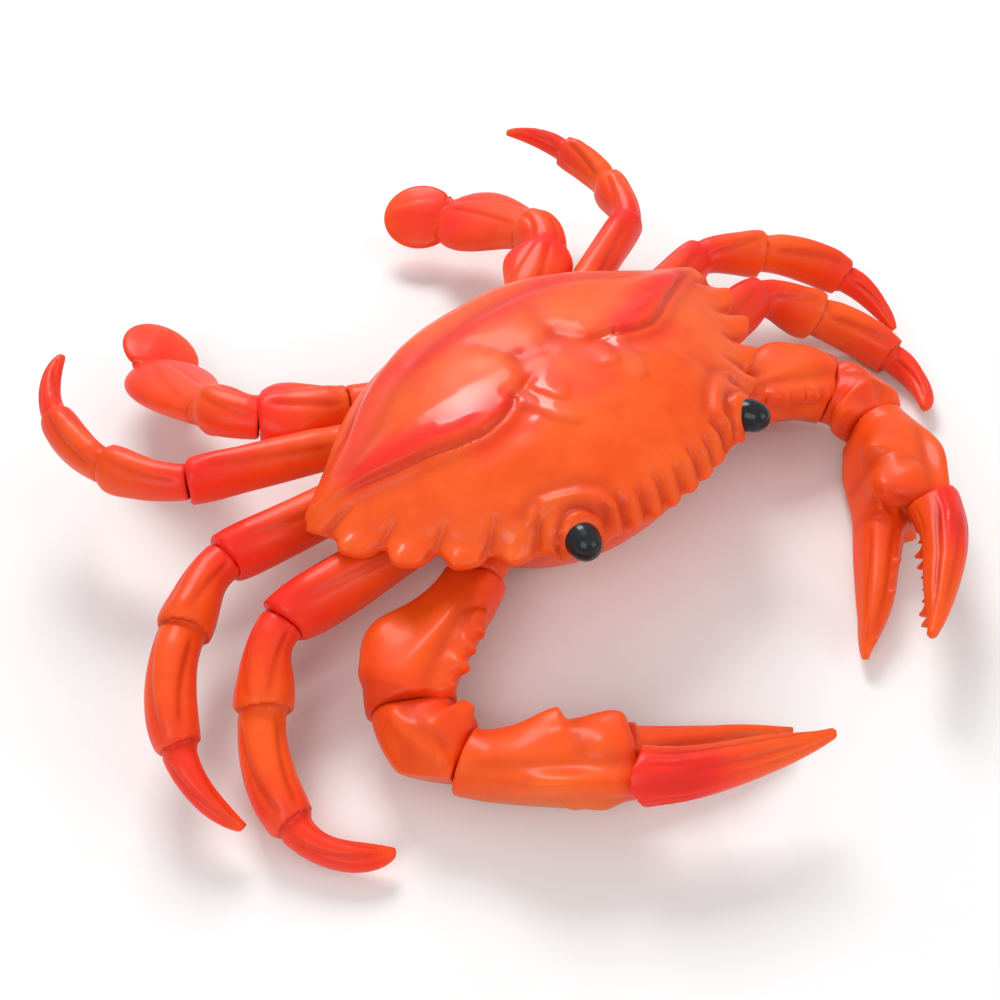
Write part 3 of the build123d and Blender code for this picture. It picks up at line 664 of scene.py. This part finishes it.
# %% Belly tray
BELLY_VOXEL = 0.8
BELLY_LINES = (
    ((9.0, 12.0), (8.0, 4.0), (5.5, -5.0), (2.0, -12.0), (0.0, -14.0)),
    ((0.0, 8.0), (8.6, 8.0)),
    ((0.0, 3.0), (7.8, 3.0)),
    ((0.0, -2.0), (6.5, -2.0)),
    ((0.0, -7.0), (4.7, -7.0)),
    ((7.0, -1.0), (18.0, -6.0), (30.0, -8.0)),
    ((8.0, 4.0), (20.0, 3.0), (32.0, 2.0)),
    ((8.6, 9.0), (18.0, 11.0), (29.0, 13.0)),
    ((3.0, -11.0), (14.0, -17.0), (26.0, -20.0)),
)
belly = Clay(merged_copy("underbody"), BELLY_VOXEL)
belly.smooth(8)
low_side = ramp(-belly.normals()[:, 2], 0.05, 0.5) * ramp(15.0 - belly.points[:, 2], 0, 4.0)
plan = np.column_stack((np.abs(belly.points[:, 0]), belly.points[:, 1]))
relief = np.zeros(len(plan))
for path in BELLY_LINES:
    relief -= 0.5 * bell(along_path(plan, path)[0], 0.9)
flat = ramp(belly.points[:, 2], 0.15, 1.2)
belly.push(relief * low_side * flat)
belly.points[:, 2] = np.maximum(belly.points[:, 2], cad_box[0][2] / MM)
# Painted shade in the belly lines; the tan makes the belly darker towards the bottom, partly as painted
# shade.
belly.paint["crease_shade"] = -1.2 * relief * low_side
belly.paint["tan"] = 0.65 * ramp(14.0 - belly.points[:, 2], 0, 9.0)
belly.paint["red"] = np.full(len(plan), 0.25)
finished(belly, "underbody", belly_vinyl)
print("belly points:", len(belly.points), "lines:", len(BELLY_LINES))

# %% [markdown]
# ## Legs
# A leg is a chain of links, and each link has the same parts in a different mix: a crest on top, a groove on
# either side of it, a swollen rim at its far end and a crease where the next link begins. So one function
# sculpts any link from its middle line. Red is sprayed at the joints and along the outer edges.

# %% Legs
HIPS = {
    "leg1": ((-37.2, -9.5, 18.0), (-67.8, -7.6, 17.5)),
    "leg2": ((-37.2, 5.5, 19.5), (-67.5, 10.1, 19.5)),
    "leg3": ((-32.5, 17.5, 20.5), (-62.4, 28.2, 23.0)),
    "leg4": ((-25.0, 26.5, 20.5), (-41.0, 34.5, 22.0)),
}
SHINS = {
    "leg1": (((-74.8, -11.2, 14.7), (-80.4, -16.6, 11.4)), ((-86.2, -25.5, 7.6), (-88.4, -34.5, 4.9)),
             ((-86.3, -43.2, 3.9), (-79.0, -50.2, 4.4))),
    "leg2": (((-75.5, 7.2, 19.0), (-82.6, 2.6, 18.1)), ((-91.0, -5.6, 15.8), (-95.7, -13.8, 13.2)),
             ((-97.2, -22.5, 9.8), (-95.2, -30.4, 6.9))),
    "leg3": (((-68.0, 34.3, 22.9), (-71.9, 42.5, 22.9)), ((-73.6, 50.6, 23.8), (-72.9, 59.3, 25.4)),
             ((-69.8, 65.9, 27.4), (-63.7, 70.8, 29.4))),
    "leg4": (((-45.2, 39.6, 22.4), (-46.2, 44.6, 20.6)), ((-46.2, 57.5, 16.6), (-43.6, 71.8, 12.6)),
             ((-39.3, 77.3, 12.3), (-33.5, 84.9, 11.8))),
}
# crest height, groove depth, end flare, and red at the start, middle and end of each kind of link
LINK_LOOKS = {
    "upper": (0.40, 0.25, 0.45, (0.0, 0.3, 0.95)),
    "first": (0.35, 0.25, 0.50, (0.9, 0.35, 0.05)),
    "second": (0.50, 0.40, 0.35, (0.05, 0.15, 0.55)),
    "last": (0.25, 0.30, 0.0, (0.7, 0.65, 0.40)),
    "blade": (0.30, 0.15, 0.15, (0.30, 0.45, 0.75)),
    "paddle": (0.15, 0.0, 0.0, (0.8, 0.6, 0.25)),
}


def dress_link(clay, chosen, path, look):
    """Sculpt and paint the points of one link."""
    crest, groove, flare, reds = LINK_LOOKS[look]
    points = clay.points[chosen]
    share, foot, aim = along_path(points, path)[1:]
    angle = turn_about(points, foot, aim)
    body = ramp(share, 0.05, 0.25) * ramp(1 - share, 0.02, 0.2)
    spread = 0.85 - 0.55 * share
    furrow = bell(np.abs(angle) - spread, 0.17)
    low_furrow = bell(np.abs(angle) - 1.8, 0.25)
    ridge = crest * ramp(spread - np.abs(angle), -0.1, 0.25) - groove * (furrow + 0.6 * low_furrow)
    lip = flare * ramp(share, 0.62, 0.98) * (1.0 + 0.5 * np.cos(2 * angle))
    seam = bell(share, 0.035) * (look != "upper")
    height = np.zeros(len(clay.points))
    height[chosen] = ridge * body + lip - 0.45 * seam
    clay.push(height)
    middle = np.interp(share, (0.0, 0.5, 1.0), reds)
    edge = 0.12 * bell(angle - 1.3, 0.5) + 0.5 * bell(angle + 1.2, 0.6) * share
    clay.paint["red"][chosen] = middle * (0.75 + 0.4 * bell(angle, 1.2)) + edge * body
    # Painted shade in the grooves and the seam; tan under the link, partly unsprayed plastic and partly
    # painted shade.
    clay.paint["crease_shade"][chosen] = 0.9 * groove * body * furrow + 0.7 * seam
    clay.paint["tan"][chosen] = 0.6 * ramp(round_gap(angle, 0.0), 2.1, 2.7)


# %% Paddle
PADDLE_MIDDLE = np.array((-39.34, 77.34, 12.25))
PADDLE_LONG = unit((0.60, 0.78, -0.05))
PADDLE_FACING = unit((0.4207, -0.2679, 0.867))
PADDLE_SIZE = (9.6, 8.8)


def thin_paddle(clay, chosen):
    """Turn the paddle's even disc into a petal: thick in the middle and thin at its rim."""
    spoke = clay.points[chosen] - PADDLE_MIDDLE
    over = spoke @ PADDLE_FACING
    lengthwise = spoke @ PADDLE_LONG / PADDLE_SIZE[0]
    crosswise = spoke @ np.cross(PADDLE_FACING, PADDLE_LONG) / PADDLE_SIZE[1]
    span = np.hypot(lengthwise, crosswise)
    swell = 0.45 + 0.95 * np.clip(1 - span ** 2, 0, 1)
    clay.points[chosen] += np.outer(over * (swell - 1) * ramp(1.1 - span, 0, 0.1), PADDLE_FACING)


# %% Leg pieces
LIMB_VOXEL = 0.45


def crisp(clay, place, aim):
    """How much to smooth each point, so that the joint face at a place keeps its edge."""
    return 0.15 + 0.85 * ramp(np.abs((clay.points - place) @ aim), 0.3, 2.2)


for leg, (hip, knee) in HIPS.items():
    seat = unit(unit(np.subtract(knee, hip)) + unit(np.subtract(SHINS[leg][0][0], knee)))
    upper = Clay(merged_copy(leg + "_upper_right"), LIMB_VOXEL)
    upper.smooth(6, crisp(upper, knee, seat))
    dress_link(upper, np.arange(len(upper.points)), np.array((hip, knee)), "upper")
    upper.smooth(2, crisp(upper, knee, seat))
    finished_pair(upper, leg + "_upper", leg_vinyl)
    lower = Clay(merged_copy(leg + "_lower_right"), LIMB_VOXEL)
    lower.smooth(4, crisp(lower, knee, seat))
    start = knee
    paths = []
    for middle, end in SHINS[leg]:
        paths.append(bow(start, middle, end))
        start = end
    nearest = np.argmin([along_path(lower.points, path)[0] for path in paths], axis=0)
    looks = ("first", "blade", "paddle") if leg == "leg4" else ("first", "second", "last")
    for k, look in enumerate(looks):
        chosen = np.flatnonzero(nearest == k)
        if look == "paddle":
            thin_paddle(lower, chosen)
        dress_link(lower, chosen, paths[k], look)
    lower.smooth(2, crisp(lower, knee, seat))
    finished_pair(lower, leg + "_lower", leg_vinyl)

# %% [markdown]
# ## Claw arm and wrist
# The arm is a broad plate with a corner towards the back and a row of teeth on its front edge. The solid has
# round knobs there, so they are smoothed away and smaller teeth are pushed out along the same edge. The wrist
# is a block: four planes shave flat faces on it, which leaves the ridges that catch the light, and a stout
# spine stands on the inside.

# %% Claw arm
SHOULDER = np.array((-35.0, -23.0, 16.0))
ELBOW = np.array((-61.0, -34.3, 11.0))
WRIST = np.array((-61.0, -47.4, 9.8))
ARM_FACE, ARM_FACE_DEPTH = (-0.1, 0.35, 0.93), 6.6
# place along the arm, height
ARM_TEETH = ((0.30, 0.7), (0.44, 1.2), (0.57, 1.0), (0.70, 1.3), (0.83, 1.0), (0.93, 0.7))
arm = Clay(merged_copy("claw_arm_right"), LIMB_VOXEL)
arm.smooth(5)
share, foot, aim = along_path(arm.points, (SHOULDER, ELBOW))[1:]
angle = turn_about(arm.points, foot, aim)
knobs = ramp(share, 0.3, 0.4) * ramp(0.92 - share, 0, 0.1) * bell(round_gap(angle, 0.8), 0.55)
arm.smooth(60, knobs, keep_size=False)
body = ramp(share, 0.1, 0.25) * ramp(1 - share, -0.02, 0.1)
shave(arm, (SHOULDER + ELBOW) / 2 + ARM_FACE_DEPTH * unit(ARM_FACE), ARM_FACE)
height = 2.4 * bell(share - 0.66, 0.22) * bell(round_gap(angle, -1.3), 0.5)
height += 0.9 * bell(share - 1.0, 0.12) * bell(round_gap(angle, -1.2), 0.9)
height += 0.5 * bell(round_gap(angle, 0.85), 0.3) - 0.35 * bell(round_gap(angle, 0.3), 0.22)
for place, tall in ARM_TEETH:
    height += tall * bell(share - place, 0.036) * bell(round_gap(angle, 0.95), 0.22)
arm.push(height * body)
arm.smooth(2)
# Painted shade in the groove and at the elbow end.
arm.paint["crease_shade"] = 0.4 * bell(round_gap(angle, 0.3), 0.2) * body + 0.5 * ramp(share, 0.97, 1.0)
arm.paint["red"] = 0.3 * ramp(share, 0.75, 1.0) + 0.3 * bell(share, 0.3)
arm.paint["red"] += 0.25 * bell(round_gap(angle, 0.9), 0.3)
# Tan underneath: unsprayed plastic and painted shade.
arm.paint["tan"] = 0.75 * ramp(round_gap(angle, 0.0), 1.9, 2.6)
finished_pair(arm, "claw_arm", claw_vinyl)

# %% Wrist
WRIST_MIDDLE = np.array((-62.4, -41.0, 10.6))
WRIST_BEND = (-63.0, -41.0, 10.6)
WRIST_SPINE = ((-60.0, -41.6, 12.6), (-54.4, -42.9, 13.4))
WRIST_FACES = (
    # direction, distance from the middle
    ((0.22, 0.28, 0.93), 6.9), ((-0.80, -0.10, 0.60), 6.9),
    ((-0.72, -0.55, -0.42), 7.0), ((0.35, -0.55, 0.75), 6.6),
)
wrist = Clay(merged_copy("claw_wrist_right"), LIMB_VOXEL)
wrist.smooth(5)
for face, depth in WRIST_FACES:
    shave(wrist, WRIST_MIDDLE + depth * unit(face), face)
share, foot, aim = along_path(wrist.points, bow(ELBOW, WRIST_BEND, WRIST))[1:]
angle = turn_about(wrist.points, foot, aim)
body = ramp(share, 0.08, 0.2) * ramp(1 - share, 0.05, 0.2)
height = 0.6 * bell(round_gap(angle, -0.7), 0.22) - 0.4 * bell(round_gap(angle, -0.25), 0.22)
spine = along_path(wrist.points, WRIST_SPINE)
height += 0.9 * bell(spine[0], 2.6) * ramp(spine[1], 0.3, 0.9)
wrist.push(height * body)
wrist.smooth(2)
# Painted shade in the groove and at the far end.
wrist.paint["crease_shade"] = 0.4 * bell(round_gap(angle, -0.25), 0.22) * body + 0.4 * ramp(share, 0.93, 1.0)
wrist.paint["red"] = 0.35 * bell(share, 0.35) + 0.2 * ramp(share, 0.8, 1.0)
wrist.paint["red"] += 0.35 * bell(round_gap(angle, 0.4), 0.6) * body
# Tan underneath: unsprayed plastic and painted shade.
wrist.paint["tan"] = 0.75 * ramp(round_gap(angle, 0.0), 1.9, 2.5)
finished_pair(wrist, "claw_wrist", claw_vinyl)

# %% [markdown]
# ## Palm and pincers
# The palm has its own three directions, the same as in the solid: along the claw, across it from the fixed to
# the movable finger, and through it. Planes shave its faces flat, two saw-like knobs stand on its inner edge,
# and a keel runs along its back. The pincers are red at the root and orange at the tip, grooved lengthwise,
# and toothed.

# %% Palm directions
PALM = np.array((-49.0, -61.0, 10.9))
PALM_LONG = unit((0.76, -0.65, 0.0))
TILT = math.radians(47.0)
PALM_ACROSS = np.cross(PALM_LONG, UP) * math.cos(TILT) + UP * math.sin(TILT)
PALM_THIN = np.cross(PALM_LONG, PALM_ACROSS)
PIN = (5.0, 5.6, 1.0)
KNUCKLE_RADIUS = 6.0


def palm_point(along, across, through):
    return PALM + PALM_LONG * along + PALM_ACROSS * across + PALM_THIN * through


def palm_path(rows):
    return [palm_point(*row) for row in rows]


def palm_places(points):
    """Along, across and through the palm for each point."""
    return ((points - PALM) @ np.column_stack((PALM_LONG, PALM_ACROSS, PALM_THIN))).T


def drum(radius, length):
    """A cylinder on the finger's pin, as a mesh."""
    bm = bmesh.new()
    turn = Matrix(np.column_stack((PALM_LONG, PALM_ACROSS, PALM_THIN)).tolist()).to_4x4()
    place = Matrix.Translation(Vector(palm_point(*PIN) * MM)) @ turn
    bmesh.ops.create_cone(bm, cap_ends=True, segments=48, radius1=radius * MM, radius2=radius * MM,
                          depth=length * MM, matrix=place)
    mesh = bpy.data.meshes.new("drum")
    bm.to_mesh(mesh)
    bm.free()
    return mesh


# %% Palm clay
PALM_FACES = (
    # direction across and through, distance from the middle
    ((1.0, 0.0), 9.8), ((0.8, -0.6), 7.4), ((0.72, 0.69), 9.1), ((-0.3, 0.95), 7.0), ((-0.45, -0.9), 7.4),
)
KNUCKLE_FACE, KNUCKLE_DEPTH = (0.65, 0.6, -0.47), 5.4
KNUCKLE_LENGTH, KNUCKLE_INSET = 6.0, 0.1
FIXED_LINE = palm_path(((6.0, -4.6, 0.0), (15.0, -6.6, -0.3), (26.0, -8.4, -0.8), (35.0, -10.4, -1.5),
                        (41.6, -11.8, -2.0)))
FIXED_EDGE = palm_path(((14.0, -2.6, -0.3), (20.0, -3.6, -0.5), (27.0, -5.2, -0.9), (34.0, -8.4, -1.4),
                        (38.0, -10.2, -1.8)))
biting = teeth(FIXED_EDGE, count=8, length=1.9, radius=1.3, tip=0.35, jitter=0.25, seed=4,
               up=-PALM_THIN, material=claw_vinyl)
knuckle_drum = drum(KNUCKLE_RADIUS - KNUCKLE_INSET, KNUCKLE_LENGTH)
palm = Clay(joined(merged_copy("claw_palm_right"), biting, knuckle_drum), LIMB_VOXEL)
palm.smooth(5)
for face, depth in PALM_FACES:
    aim = PALM_ACROSS * face[0] + PALM_THIN * face[1]
    shave(palm, PALM + depth * unit(aim), aim)
along, across, through = palm_places(palm.points)
knuckle = ramp(12.5 - along, 0, 1.5) * ramp(across, -1.5, 1.0) * ramp(along, -1.0, 1.5)
inner = palm_point(*KNUCKLE_FACE) - PALM
shave(palm, palm_point(*PIN) + KNUCKLE_DEPTH * unit(inner), inner, where=knuckle)
print("flat faces on the palm:", len(PALM_FACES) + 1)

# %% Palm relief
PIN_BOSSES = ((5.0, 1.1), (-4.8, 1.2))  # place along the pin, height
SAW_KNOBS = ((-1.6, 2.6), (8.6, 2.4))  # place along the palm, height
along, across, through = palm_places(palm.points)
blade = ramp(along, 10.0, 18.0)
height = np.zeros(len(palm.points))
for end, tall in PIN_BOSSES:
    middle = palm_point(PIN[0], PIN[1] + 0.4, PIN[2] + end)
    height += tall * bell(np.linalg.norm(palm.points - middle, axis=1), 2.8)
for tip, tall in SAW_KNOBS:
    slope = np.where(along < tip, bell(along - tip, 6.0), bell(along - tip, 1.0))
    height += tall * slope * bell(across - 0.4, 2.8) * ramp(-through, 0.5, 3.5)
height += 1.3 * bell(through - 1.2, 1.3) * ramp(across, 3.0, 7.0) * bell(along + 1.0, 9.0)
height -= 0.6 * bell(through + 1.8, 1.2) * ramp(across, 3.0, 6.0) * bell(along + 2.0, 8.0)
share, foot, aim = along_path(palm.points, FIXED_LINE)[1:]
angle = turn_about(palm.points, foot, aim)
grooves = sum(bell(round_gap(angle, middle), 0.17) for middle in (0.55, -0.5, 2.3, -2.4))
height -= 0.4 * grooves * blade * ramp(1 - share, 0.05, 0.3)
palm.push(height)
palm.smooth(2)
print("palm relief:", round(float(height.min()), 2), "to", round(float(height.max()), 2))

# %% Palm paint
knob_shade = bell(along - 1.2, 1.6) + bell(along - 11.0, 1.6)
# Painted shade: darker in the finger grooves, the back groove and round the knobs.
palm.paint["crease_shade"] = 0.4 * grooves * blade * ramp(1 - share, 0.1, 0.3)
palm.paint["crease_shade"] += 0.4 * bell(through + 1.8, 1.2) * ramp(across, 3.0, 6.0) * (1 - blade)
palm.paint["crease_shade"] += 0.4 * knob_shade * ramp(-through, 2.0, 4.0) * (1 - blade)
palm.paint["red"] = 0.2 * bell(along - 10.0, 4.0) * ramp(across, -2.0, 3.0)
palm.paint["red"] += 0.35 * blade * ramp(1 - share, 0.25, 0.85)
palm.paint["red"] += 0.15 * ramp(-through, 2.0, 5.0) * (1 - blade)
palm.paint["red"] += 0.6 * bell(along - 11.0, 2.5) * ramp(through, -1.0, 3.0) * ramp(across, 0.0, 3.0)
# Tan underneath: unsprayed plastic and painted shade, with more painted shade on the lower back.
palm.paint["tan"] = 0.8 * ramp(-palm.normals()[:, 2], 0.1, 0.6)
palm.paint["tan"] += 0.45 * ramp(through, 2.4, 4.5) * ramp(across, 0.0, 4.0) * ramp(9.0 - along, 0.0, 3.0)
finished_pair(palm, "claw_palm", claw_vinyl)

# %% Movable finger clay
FINGER_VOXEL = 0.4
ROOT_GAP, CUTTER_LENGTH = 0.3, 30.0
MOVABLE_LINE = palm_path(((5.0, 5.6, 1.2), (16.0, 7.0, 1.2), (27.0, 6.6, -0.2), (37.0, 5.0, -2.0),
                          (44.8, 3.4, -3.8)))
MOVABLE_EDGE = palm_path(((15.0, 2.9, 1.0), (22.0, 2.7, 0.4), (29.0, 2.9, -0.6), (36.0, 3.0, -1.8),
                          (41.0, 2.9, -2.9)))
bites = teeth(MOVABLE_EDGE, count=9, length=1.8, radius=1.2, tip=0.35, jitter=0.25, seed=9,
              up=PALM_THIN, material=claw_vinyl)
solid = bpy.data.objects.new("finger", merged_copy("claw_finger_right"))
cutter = bpy.data.objects.new("cutter", drum(KNUCKLE_RADIUS + ROOT_GAP, CUTTER_LENGTH))
for obj in (solid, cutter):
    bpy.context.scene.collection.objects.link(obj)
cut = solid.modifiers.new("root", "BOOLEAN")
cut.operation = "DIFFERENCE"
cut.object = cutter
bare = bpy.data.meshes.new_from_object(solid.evaluated_get(bpy.context.evaluated_depsgraph_get()))
for obj in (solid, cutter):
    bpy.data.objects.remove(obj)
finger = Clay(joined(bare, bites), FINGER_VOXEL)
finger.smooth(6)
share = along_path(finger.points, MOVABLE_LINE)[1]
finger.smooth(16, ramp(0.3 - share, 0.0, 0.08), keep_size=False)

# %% Movable finger grooves and paint
share, foot, aim = along_path(finger.points, MOVABLE_LINE)[1:]
angle = turn_about(finger.points, foot, aim)
body = ramp(share, 0.22, 0.4) * ramp(1 - share, 0.05, 0.3)
grooves = sum(bell(round_gap(angle, middle), 0.17) for middle in (0.5, -0.45, 2.2, -2.3))
streak = (0.5 + 0.5 * np.sin(angle * 13.0 + 3.0 * np.sin(angle * 4.0))) * bell(share - 0.3, 0.13)
finger.push(-0.42 * grooves * body - 0.3 * streak * ramp(share, 0.14, 0.22))
finger.smooth(2)
# Painted shade in the grooves and streak lines.
finger.paint["crease_shade"] = 0.5 * grooves * body + 0.5 * streak
along, across, through = palm_places(finger.points)
outer = ramp(0.7 * (across - 5.6) + 0.7 * (through - 1.0), -4.0, 1.0)
finger.paint["red"] = outer * (1.0 - ramp(share, 0.35, 0.75))
# Tan under the finger: unsprayed plastic and painted shade.
finger.paint["tan"] = 0.5 * ramp(-finger.normals()[:, 2], 0.3, 0.8)
finished_pair(finger, "claw_finger", claw_vinyl)

# %% [markdown]
# ## Eyes
# Each eye is a polished black bead on a short stalk. A turned profile makes it: a bead a little longer than
# wide with a faint ring round its waist, so that the highlight breaks as it does on the toy.

# %% Eye finish
BEAD_DARK, BEAD_PALE = (0.006, 0.007, 0.009), (0.022, 0.025, 0.03)
SMEAR_SCALE, RIPPLE_SCALE = 420.0, 300.0
bead_black, bead_shader, bead_place = new_material("bead black")
smear = noise(bead_place, SMEAR_SCALE, 3.0)
ripple = noise(bead_place, RIPPLE_SCALE)
feed(bead_shader, Roughness=0.16 + 0.2 * smear, Base_Color=blend(smear, BEAD_DARK, BEAD_PALE),
     Normal=bead_place.node("ShaderNodeBump", Strength=0.15, Distance=0.0003, Height=ripple))
bead_shader.inputs["Coat Weight"].default_value = 0.2
bead_shader.inputs["Coat Roughness"].default_value = 0.08
bead_shader.inputs["Specular IOR Level"].default_value = 0.2

# %% Eyes
HALF_LENGTH, HALF_WIDTH, STALK, STALK_END = 4.2, 3.3, 1.5, -7.6
PROFILE_STEPS, SPIN_STEPS = 24, 48
profile = [(0.0, HALF_LENGTH)]
for step in range(1, PROFILE_STEPS):
    turn = math.pi * step / PROFILE_STEPS
    ring = 0.10 * math.exp(-((turn - 1.3) / 0.09) ** 2)
    radius = HALF_WIDTH * math.sin(turn) ** 0.85 - ring
    if radius < STALK and turn > 2:
        break
    profile.append((radius, HALF_LENGTH * math.cos(turn)))
profile += [(STALK, profile[-1][1] - 0.2), (STALK, STALK_END), (0.0, STALK_END)]
for side, name in ((1, "eye_right"), (-1, "eye_left")):
    turned = Vector(EYE_AIM * (side, 1, 1)).to_track_quat("Z", "Y").to_matrix().to_4x4()
    placed = Matrix.Translation(Vector(EYE * (side, 1, 1)) * MM)
    bm = bmesh.new()
    line = [bm.verts.new((radius * MM, 0, height * MM)) for radius, height in profile]
    edges = [bm.edges.new(pair) for pair in zip(line, line[1:])]
    bmesh.ops.spin(bm, geom=line + edges, axis=(0, 0, 1), cent=(0, 0, 0), steps=SPIN_STEPS, angle=math.tau)
    bmesh.ops.remove_doubles(bm, verts=bm.verts, dist=WELD)
    bmesh.ops.recalc_face_normals(bm, faces=bm.faces)
    bm.transform(placed @ turned)
    mesh = bpy.data.meshes.new(name)
    bm.to_mesh(mesh)
    bm.free()
    mesh.shade_smooth()
    mesh.materials.append(bead_black)
    bead = bpy.data.objects.new(name + "_bead", mesh)
    bpy.context.scene.collection.objects.link(bead)
    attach(bead, body_of_node[name])
    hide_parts(name)
print("eye bead rings:", len(profile))

# %% [markdown]
# ## Pins
# The pincers turn on short steel pins inside the palms. Their solids have the right shape, so they only get
# a drawn-wire finish.

# %% Pin finish
STEEL_DARK, STEEL_PALE = (0.42, 0.42, 0.44), (0.62, 0.62, 0.64)
DRAW_SCALE = 2500.0
wire_steel, wire_shader, wire_place = new_material("drawn wire")
draw_lines = noise(wire_place, DRAW_SCALE, 3.0)
feed(wire_shader, Roughness=0.25 + 0.25 * draw_lines, Base_Color=blend(draw_lines, STEEL_DARK, STEEL_PALE))
wire_shader.inputs["Metallic"].default_value = 1.0
for name in ("claw_pin_right", "claw_pin_left"):
    pin = frame["nodes"][name]
    pin.data.materials.clear()
    pin.data.materials.append(wire_steel)
    print("steel finish on", name)

# %% [markdown]
# ## Studio
# The toy stands on a plain pale floor in soft light. A large lamp behind it on the right gives the long
# highlight on the shell, and two weaker ones fill the front. The camera is worked out from the photograph.

# %% Floor
FLOOR_HALF = 3.0
PAPER_DARK, PAPER_PALE = (0.84, 0.84, 0.84), (0.88, 0.88, 0.88)
FLECK_SCALE = 40.0
corners = [(x * FLOOR_HALF, y * FLOOR_HALF, 0) for x, y in ((-1, -1), (1, -1), (1, 1), (-1, 1))]
floor_mesh = bpy.data.meshes.new("floor")
floor_mesh.from_pydata(corners, [], [(0, 1, 2, 3)])
floor = bpy.data.objects.new("floor", floor_mesh)
bpy.context.scene.collection.objects.link(floor)
paper, paper_shader, paper_place = new_material("floor paper")
fleck = noise(paper_place, FLECK_SCALE, 4.0)
feed(paper_shader, Base_Color=blend(fleck, PAPER_DARK, PAPER_PALE))
paper_shader.inputs["Roughness"].default_value = 0.8
floor_mesh.materials.append(paper)
print("floor half width:", FLOOR_HALF, "m")

# %% Light
SKY_STRENGTH = 0.5
LAMP_TARGET = Vector((0, 0, 0.02))
LAMPS = (
    # name, place, size, power
    ("key", (0.28, 0.48, 0.62), 0.34, 4.2),
    ("fill", (-0.55, -0.25, 0.55), 0.45, 2.0),
    ("front", (0.25, -0.75, 0.45), 0.45, 1.7),
)
studio = bpy.data.worlds.new("studio")
bpy.context.scene.world = studio
studio.use_nodes = True
sky = next(n for n in studio.node_tree.nodes if n.type == "BACKGROUND")
sky.inputs["Color"].default_value = (1.0, 1.0, 1.0, 1.0)
sky.inputs["Strength"].default_value = SKY_STRENGTH
for name, place, size, power in LAMPS:
    light = bpy.data.lights.new(name, "AREA")
    light.size = size
    light.energy = power
    lamp = bpy.data.objects.new(name, light)
    lamp.location = place
    lamp.rotation_euler = (LAMP_TARGET - Vector(place)).to_track_quat("-Z", "Y").to_euler()
    bpy.context.scene.collection.objects.link(lamp)
print("lamps:", len(LAMPS))

# %% Camera
FOCAL_LENGTH = 44.794
CAMERA_PLACE = (-0.136214, -0.133654, 0.195163)
CAMERA_RIGHT = (0.72048, -0.69347, 0.00343)
CAMERA_UP = (0.50179, 0.52474, 0.68764)
CAMERA_BACK = (-0.47866, -0.49371, 0.72604)
lens = bpy.data.cameras.new("camera")
lens.lens = FOCAL_LENGTH
lens.sensor_width = 36.0
lens.clip_start = 0.01
camera = bpy.data.objects.new("camera", lens)
facing = Matrix((CAMERA_RIGHT, CAMERA_UP, CAMERA_BACK)).transposed().to_4x4()
camera.matrix_world = Matrix.Translation(CAMERA_PLACE) @ facing
bpy.context.scene.collection.objects.link(camera)
bpy.context.scene.camera = camera
bpy.context.scene.view_settings.view_transform = "Standard"
print("camera lens:", FOCAL_LENGTH, "mm")
